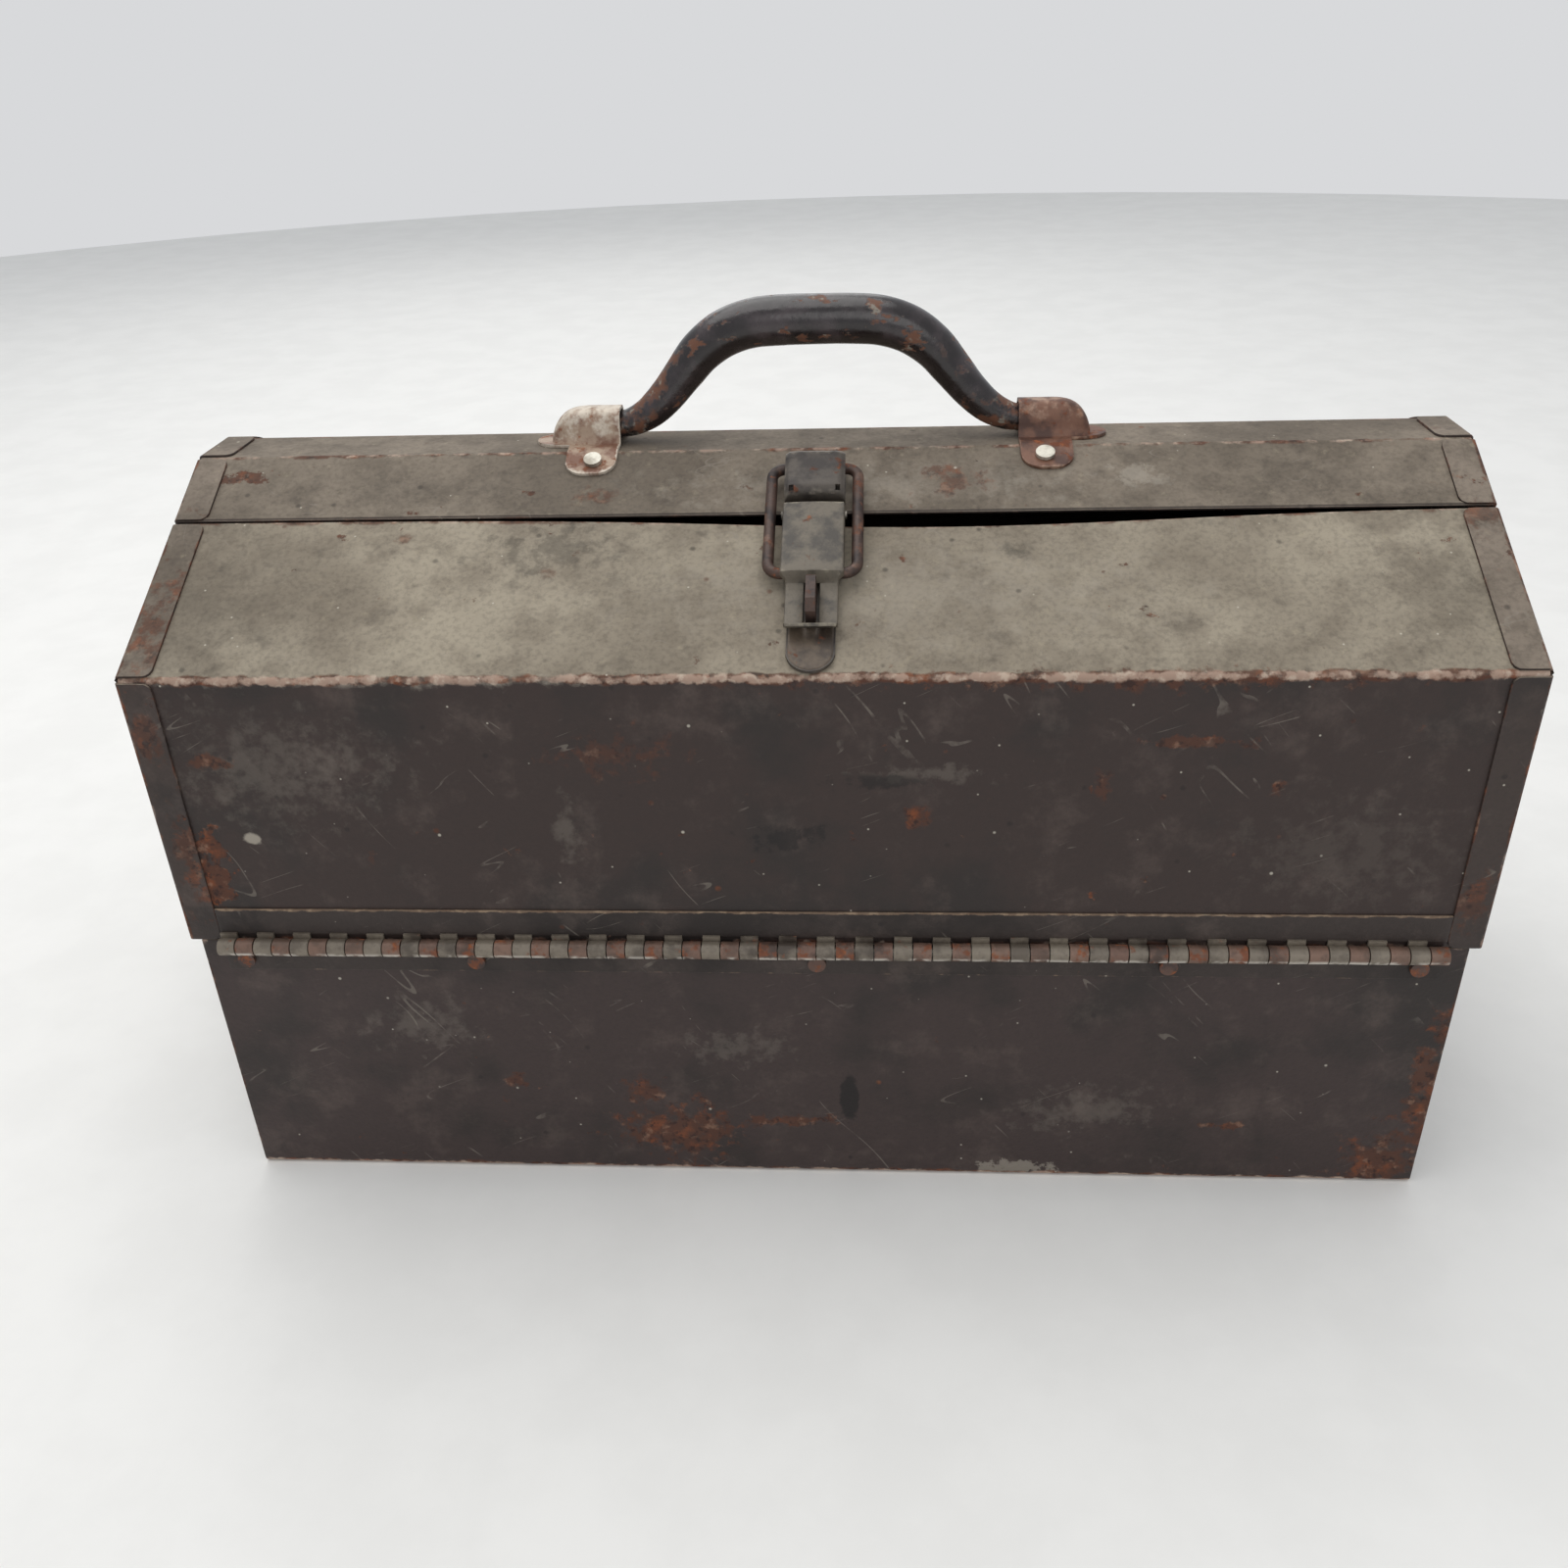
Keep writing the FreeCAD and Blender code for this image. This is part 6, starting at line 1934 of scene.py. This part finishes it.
@dataclass
class Ears:
    """Pressed ears that carry the handle's ends.

    Attributes:
        gable: Section of the box.
        inner: Open end of an ear along X.
        strap: Width of the tabs on the slopes.
        dome_end: Where the dome closes.
        tip: Outer end of the flat tab.
        half: Half width of the dome.
        high: Height of the dome.
        reach: How far the tabs run from the middle, over the top and down the slope.
        metal: Thickness.
        rivet_x: Place of the rivets along X.
        rivet_along: Place of the rivets up the slope.
        rivet_radius: Radius of a rivet's head.
        rivet_rise: Height of a rivet's head.
        corner: Radius of the tabs' corners.
    """

    gable: Gable
    inner: float = 72.4
    strap: float = 18.7
    dome_end: float = 98.6
    tip: float = 104.5
    half: float = 6.55
    high: float = 13.15
    reach: float = 25.7
    metal: float = 1.3
    rivet_x: float = 80.8
    rivet_along: float = 97.9
    rivet_radius: float = 3.3
    rivet_rise: float = 1.5
    corner: float = 7.0

    def build(self, finishes: Finishes) -> None:
        """Build and dress both ears.

        Args:
            finishes: Materials of the box.
        """
        for name, side, finish in (("left", -1, finishes.ear_left),
                                   ("right", 1, finishes.ear_right)):
            ear = self.ear(f"handle_ear_shell_{name}", side)
            install(ear, "rear_cover", finish, [f"handle_ear_{name}"])
        angle = math.atan2(self.gable.rise, self.gable.run)
        for name, side in (("front", -1), ("rear", 1)):
            y, z = self.gable.point(self.rivet_along, self.metal + 0.1, side)
            heads = RivetSet(self.rivet_radius, self.rivet_rise, (angle * -side, 0, 0))
            seeds = [(-self.rivet_x, y, z), (self.rivet_x, y, z)]
            install(heads.grow(f"ear_heads_{name}", seeds, finishes.rivet), "rear_cover",
                    finishes.rivet)
        dress("handle_ear_rivets", finishes.rivet)

    def skirt(self, x: float) -> float:
        """Return how far the flat metal reaches from the middle at a place along X."""
        middle = self.inner + self.strap / 2
        off = abs(x - middle) - (self.strap / 2 - self.corner)
        if off <= self.corner:
            arc = math.sqrt(max(self.corner ** 2 - max(off, 0.0) ** 2, 0.0))
            return self.reach - self.corner + arc
        share = max(0.0, (x - self.inner - self.strap) / (self.tip - self.inner - self.strap))
        return (self.half + 1.6) * math.sqrt(max(1.0 - share ** 2.6, 0.0)) + 0.05

    def dome(self, x: float) -> tuple[float, float]:
        """Return half width and height of the dome at a place along X."""
        bend = self.inner + 11.0
        share = max(0.0, (x - bend) / (self.dome_end - bend))
        if share >= 1.0:
            return 0.05, 0.0
        fall = math.sqrt(1 - share ** 2.9)
        return self.half * (0.35 + 0.65 * fall), self.high * fall

    def over(self, distance: float, lift: float, side: int) -> Spot:
        """Return (y, z) at a distance from the middle, over the top and down a slope."""
        g = self.gable
        if distance <= g.roof_half:
            return side * distance, g.roof + lift
        beyond = distance - g.roof_half
        up = g.slope
        out = g.roof_half + beyond * up.x + lift * up.y
        return side * out, g.roof - beyond * up.y + lift * up.x

    def ear(self, name: str, side: int) -> bpy.types.Object:
        """Build one ear.

        Args:
            name: Name of the piece.
            side: -1 for the left ear, 1 for the right ear.

        Returns:
            The ear.
        """
        stations = [self.inner + gap for gap in (0, 0.3, 0.8, 1.8, 3.5, 6, 8.5, 11, 12.5, 14, 15.5,
                                                 17, 17.9, 18.4, 18.7)]
        stations += [91.4, 92.2, 93.2, 94.2, 95.2, 96.2, 97.1, 97.8, 98.3, 98.6, 99.4, 100.4,
                     101.6, 102.8, 103.7,
                     104.2, 104.45]
        rows = []
        wear = []
        for x in stations:
            half, high = self.dome(x)
            edge = max(self.skirt(x), half + 0.4)
            profile = []
            for step in range(9):
                share = step / 8
                distance = edge + (half + 1.1 - edge) * share if edge > half + 1.1 else edge
                profile.append((distance, self.metal, 0.8 * fade(share, 0.12)))
            for step in range(1, 13):
                turn = math.pi / 2 * step / 12
                wide = math.cos(turn) ** 0.55
                tall = math.sin(turn) ** 0.75
                profile.append((half * wide, self.metal + max(high - self.metal, 0.0) * tall,
                                0.3 + 0.5 * tall))
            ring = [(self.over(d, h, -1), w) for d, h, w in profile]
            ring += [(self.over(d, h, 1), w) for d, h, w in profile[-2::-1]]
            rows.append([(x * side, y, z) for (y, z), _ in ring])
            lip = 0.7 * fade(x - self.inner, 0.8)
            wear += [max(worn * 0.8, lip) for _, worn in ring]
        points, faces = weave(rows, flip=side > 0)
        piece = make_piece(name, points, faces, wear)
        self.face_up(piece)
        return give_metal(piece, self.metal - 0.1, 0.2)

    def face_up(self, piece: bpy.types.Object) -> None:
        """Turn the sheet's faces outwards.

        Args:
            piece: The open sheet.
        """
        with editing(piece) as shape:
            bmesh.ops.remove_doubles(shape, verts=shape.verts, dist=2e-6)
            bmesh.ops.recalc_face_normals(shape, faces=shape.faces)
            if sum(face.normal.z * face.calc_area() for face in shape.faces) < 0:
                bmesh.ops.reverse_faces(shape, faces=shape.faces)


@dataclass
class Handle:
    """Bowed tube handle that swells at the grip.

    Attributes:
        axis: Height of the pivots.
        ends: Half of the length over the ends, which stop inside the ears.
        neck_x: Where the thin necks that turn in the ears begin.
        neck: Largest radius of the necks.
        path: Centre line as (x, height above the pivots, radius).
    """

    axis: float
    ends: float = 88.0
    neck_x: float = 72.0
    neck: float = 4.65
    path: tuple[tuple[float, float, float], ...] = (
        (0, 35.9, 8.6), (12, 35.8, 8.6), (23, 34.9, 8.5), (33, 31.6, 8.2), (41.5, 25.6, 7.7),
        (48, 18.2, 7.1),
        (54.5, 10.6, 6.5), (61, 4.6, 5.9), (67.5, 1.1, 5.2), (73, 0, 4.65), (80, 0, 4.6),
        (95.5, 0, 4.6))

    def build(self, finishes: Finishes) -> None:
        """Build and dress the handle.

        Args:
            finishes: Materials of the box.
        """
        keys = [(-x, up, r) for x, up, r in self.path[:0:-1]] + list(self.path)
        fine = self.smooth([Vector(key) for key in keys], 7)
        centre = [Vector((spot.x, 0.0, self.axis + spot.y)) for spot in fine]
        radii = [spot.z + 0.12 * cloud(spot.x, spot.y, 0, 14.0, 3.0) for spot in fine]
        radii = [min(radius, self.neck) if abs(spot.x) > self.neck_x else radius
                 for radius, spot in zip(radii, centre)]
        kept = [index for index, spot in enumerate(centre) if abs(spot.x) <= self.ends]
        centre, radii = [centre[index] for index in kept], [radii[index] for index in kept]
        points, faces = tube(centre, radii, Vector((0, -1, 0)), 32, 0.35)
        wear = []
        for x, _, z in points:
            leg = 0.62 * fade(abs(x) - 62, 17)
            wear.append(max(0.0, leg * (0.75 + 0.9 * cloud(x, 0, z, 11.0, 7.0))))
        bow = settle_mesh(make_piece("handle_bow", points, faces, wear), 60.0)
        install(bow, "handle", finishes.handle, ["handle"])

    def smooth(self, keys: Sequence[Vector], steps: int) -> list[Vector]:
        """Pass a smooth curve through key points.

        Args:
            keys: Points to pass.
            steps: Divisions between two points.

        Returns:
            The finer line.
        """
        fine = []
        for index in range(len(keys) - 1):
            a = keys[max(index - 1, 0)]
            b, c = keys[index], keys[index + 1]
            d = keys[min(index + 2, len(keys) - 1)]
            for step in range(steps):
                t = step / steps
                fine.append(0.5 * (2 * b + (c - a) * t + (2 * a - 5 * b + 4 * c - d) * t * t
                                   + (3 * b - a - 3 * c + d) * t ** 3))
        return fine + [keys[-1]]


@dataclass
class Trays:
    """Four folded trays with hemmed rims, and the arms that keep them level.

    Attributes:
        metal: Thickness of the tray's sheet.
        corner: Radius of the upright corners.
        fold: Radius of the bottom folds.
        hem: Thickness of the hemmed rim.
        hem_drop: Height of the hem.
    """

    metal: float = 0.8
    corner: float = 2.5
    fold: float = 1.8
    hem: float = 1.7
    hem_drop: float = 7.0

    def build(self, finishes: Finishes) -> None:
        """Build and dress the trays, their pins and the arms.

        Args:
            finishes: Materials of the box.
        """
        for row in ("front", "rear"):
            for level in ("lower", "upper"):
                node = f"{row}_{level}_tray"
                piece = self.tray(f"{node}_pan", *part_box(node))
                install(piece, node, finishes.tray, [node])
                dress(f"{node}_pins", finishes.pin)
            dress(f"{row}_tray_studs", finishes.pin)
            for end in ("left", "right"):
                dress(f"{row}_arm_{end}", finishes.tray)

    def loop(self, low: Vector, high: Vector, inset: float, z: float,
             radius: float) -> list[Point]:
        """Return a rounded rectangle at one height.

        Args:
            low: Lowest corner of the tray in millimetres.
            high: Highest corner of the tray.
            inset: Distance in from the outer faces.
            z: Height of the loop.
            radius: Corner radius.

        Returns:
            Points, counter-clockwise from above.
        """
        radius = max(radius, 0.15)
        spots = []
        corners = ((high.x, high.y, 0), (low.x, high.y, 90), (low.x, low.y, 180),
                   (high.x, low.y, 270))
        for x, y, turn in corners:
            centre_x = x - math.copysign(inset + radius, x - (low.x + high.x) / 2)
            centre_y = y - math.copysign(inset + radius, y - (low.y + high.y) / 2)
            for step in range(6):
                angle = math.radians(turn + 18 * step)
                spots.append((centre_x + radius * math.cos(angle),
                              centre_y + radius * math.sin(angle), z))
        return spots

    def tray(self, name: str, low: Vector, high: Vector) -> bpy.types.Object:
        """Build one tray.

        Args:
            name: Name of the piece.
            low: Lowest corner of its CAD box.
            high: Highest corner.

        Returns:
            The tray.
        """
        low, high = low / MM, high / MM
        top, base = high.z, low.z
        steps = [(self.fold + 3.0, base, 0.1), (self.fold, base, 0.6)]
        for turn in (22, 45, 68, 90):
            angle = math.radians(turn)
            steps.append((self.fold * (1 - math.sin(angle)),
                          base + self.fold * (1 - math.cos(angle)), 0.8))
        steps += [(0, base + 6, 0), (0, (base + top) / 2, 0), (0, top - 4, 0.1),
                  (0, top - 1.0, 0.6)]
        half = self.hem / 2
        for turn in (30, 60, 90, 120, 150):
            angle = math.radians(turn)
            steps.append((half * (1 - math.cos(angle)), top - half + half * math.sin(angle), 0.95))
        steps += [(self.hem, top - half - 0.3, 0.6), (self.hem, top - self.hem_drop + 0.5, 0.1),
                  (self.hem - 0.2, top - self.hem_drop, 0.5),
                  (self.metal, top - self.hem_drop - 0.1, 0.3),
                  (self.metal, top - self.hem_drop - 3, 0), (self.metal, base + 5, 0),
                  (self.metal, base + self.metal + 0.8, 0.2),
                  (self.metal + 0.8, base + self.metal, 0.2),
                  (self.metal + 5, base + self.metal, 0)]
        rows = [self.loop(low, high, inset, z, self.corner - inset * 0.9) for inset, z, _ in steps]
        wear = [worn for _, _, worn in steps for _ in rows[0]]
        points, faces = weave(rows, ring=True, caps=True)
        return settle_mesh(make_piece(name, points, faces, wear), 50.0)


# --------------------------------------------------------------------------
# Studio
# --------------------------------------------------------------------------
@dataclass
class Studio:
    """Pale floor, soft light and the camera.

    Attributes:
        eye: Place of the camera in millimetres.
        yaw: Turn of the camera to the side, in radians.
        pitch: How far it looks down.
        roll: Its roll.
        lens: Focal length on a sensor 36 mm wide.
    """

    eye: Point = (21.1, -508.5, 405.8)
    yaw: float = 0.0759
    pitch: float = 0.5166
    roll: float = -0.0378
    lens: float = 31.93

    def build(self) -> None:
        """Build the floor, the lights and the camera."""
        self.build_floor()
        self.build_light()
        self.build_camera()

    def build_floor(self) -> None:
        """Lay a wide pale floor."""
        rows = [[(radius * math.cos(math.tau * i / 64), radius * math.sin(math.tau * i / 64), 0.0)
                 for i in range(64)] for radius in (0.01, 400, 1000, 2000, 2900)]
        points, faces = weave(rows, ring=True, flip=True)
        floor = make_piece("studio_floor", points, faces)
        material, tree, shader = start_material("studio_floor_cloth")
        age = Weathering(tree)
        colour = age.tint(paint("#eeedea"), paint("#eae9e6"), age.patches(60, 0.35, 0.65))
        tree.links.new(colour, shader.inputs["Base Color"])
        shader.inputs["Roughness"].default_value = 0.95
        floor.data.materials.append(material)

    def build_light(self) -> None:
        """Set the world and three large soft lamps."""
        world = bpy.data.worlds.new("studio_air")
        bpy.context.scene.world = world
        world.use_nodes = True
        tree = world.node_tree
        tree.nodes.clear()
        seen = add_node(tree, "ShaderNodeLightPath")
        air = add_node(tree, "ShaderNodeBackground", {"Color": paint("#dfe2e6"), "Strength": 0.8})
        wall = add_node(tree, "ShaderNodeBackground", {"Color": paint("#d8d9db"), "Strength": 1.0})
        mixed = add_node(tree, "ShaderNodeMixShader", {
            0: seen.outputs["Is Camera Ray"], 1: air.outputs[0], 2: wall.outputs[0]})
        add_node(tree, "ShaderNodeOutputWorld", {"Surface": mixed.outputs[0]})
        lamps = (("top", (-0.35, 0.15, 1.75), 1.9, 16.0), ("front", (0.5, -1.9, 1.25), 1.6, 8.0),
                 ("back", (-0.4, 1.7, 1.35), 1.6, 6.0))
        for name, place, size, power in lamps:
            light = bpy.data.lights.new(f"studio_{name}", "AREA")
            light.shape = "DISK"
            light.size = size
            light.energy = power
            light.color = (1.0, 0.985, 0.96)
            lamp = bpy.data.objects.new(f"studio_{name}", light)
            lamp.location = place
            aim = Vector((0, 0, 0.14)) - Vector(place)
            lamp.rotation_euler = aim.to_track_quat("-Z", "Y").to_euler()
            bpy.context.scene.collection.objects.link(lamp)

    def build_camera(self) -> None:
        """Set the camera where the box was seen from."""
        upright = Matrix(((1, 0, 0), (0, 0, -1), (0, 1, 0)))
        cos, sin = math.cos, math.sin
        turn = Matrix(((cos(self.yaw), sin(self.yaw), 0), (-sin(self.yaw), cos(self.yaw), 0),
                       (0, 0, 1)))
        tilt = Matrix(((1, 0, 0), (0, cos(self.pitch), -sin(self.pitch)),
                       (0, sin(self.pitch), cos(self.pitch))))
        lean = Matrix(((cos(self.roll), -sin(self.roll), 0), (sin(self.roll), cos(self.roll), 0),
                       (0, 0, 1)))
        right, down, ahead = lean @ tilt @ upright @ turn
        pose = Matrix((right, -down, -ahead)).transposed().to_4x4()
        data = bpy.data.cameras.new("view_camera")
        data.lens = self.lens
        data.sensor_width = SENSOR
        data.clip_start = 0.01
        camera = bpy.data.objects.new("view_camera", data)
        camera.matrix_world = Matrix.Translation(Vector(self.eye) * MM) @ pose
        bpy.context.scene.collection.objects.link(camera)
        bpy.context.scene.camera = camera


def main() -> None:
    """Build the box, piece by piece, and the studio round it."""
    logging.basicConfig(level=logging.INFO, format="%(name)s: %(message)s")
    bpy.context.scene.view_settings.view_transform = "Standard"
    gable = Gable.from_frame()
    finishes = Finishes(gable)
    axis = next(joint for joint in frame["joints"]
                if joint["name"] == "handle_swing")["pos_m"][2] / MM
    Studio().build()
    for part in (Case(gable), Covers(gable), Hinges(gable), Latch(gable), Ears(gable),
                 Handle(axis), Trays()):
        LOG.info("building %s", type(part).__name__)
        part.build(finishes)


if __name__ == "__main__":
    main()
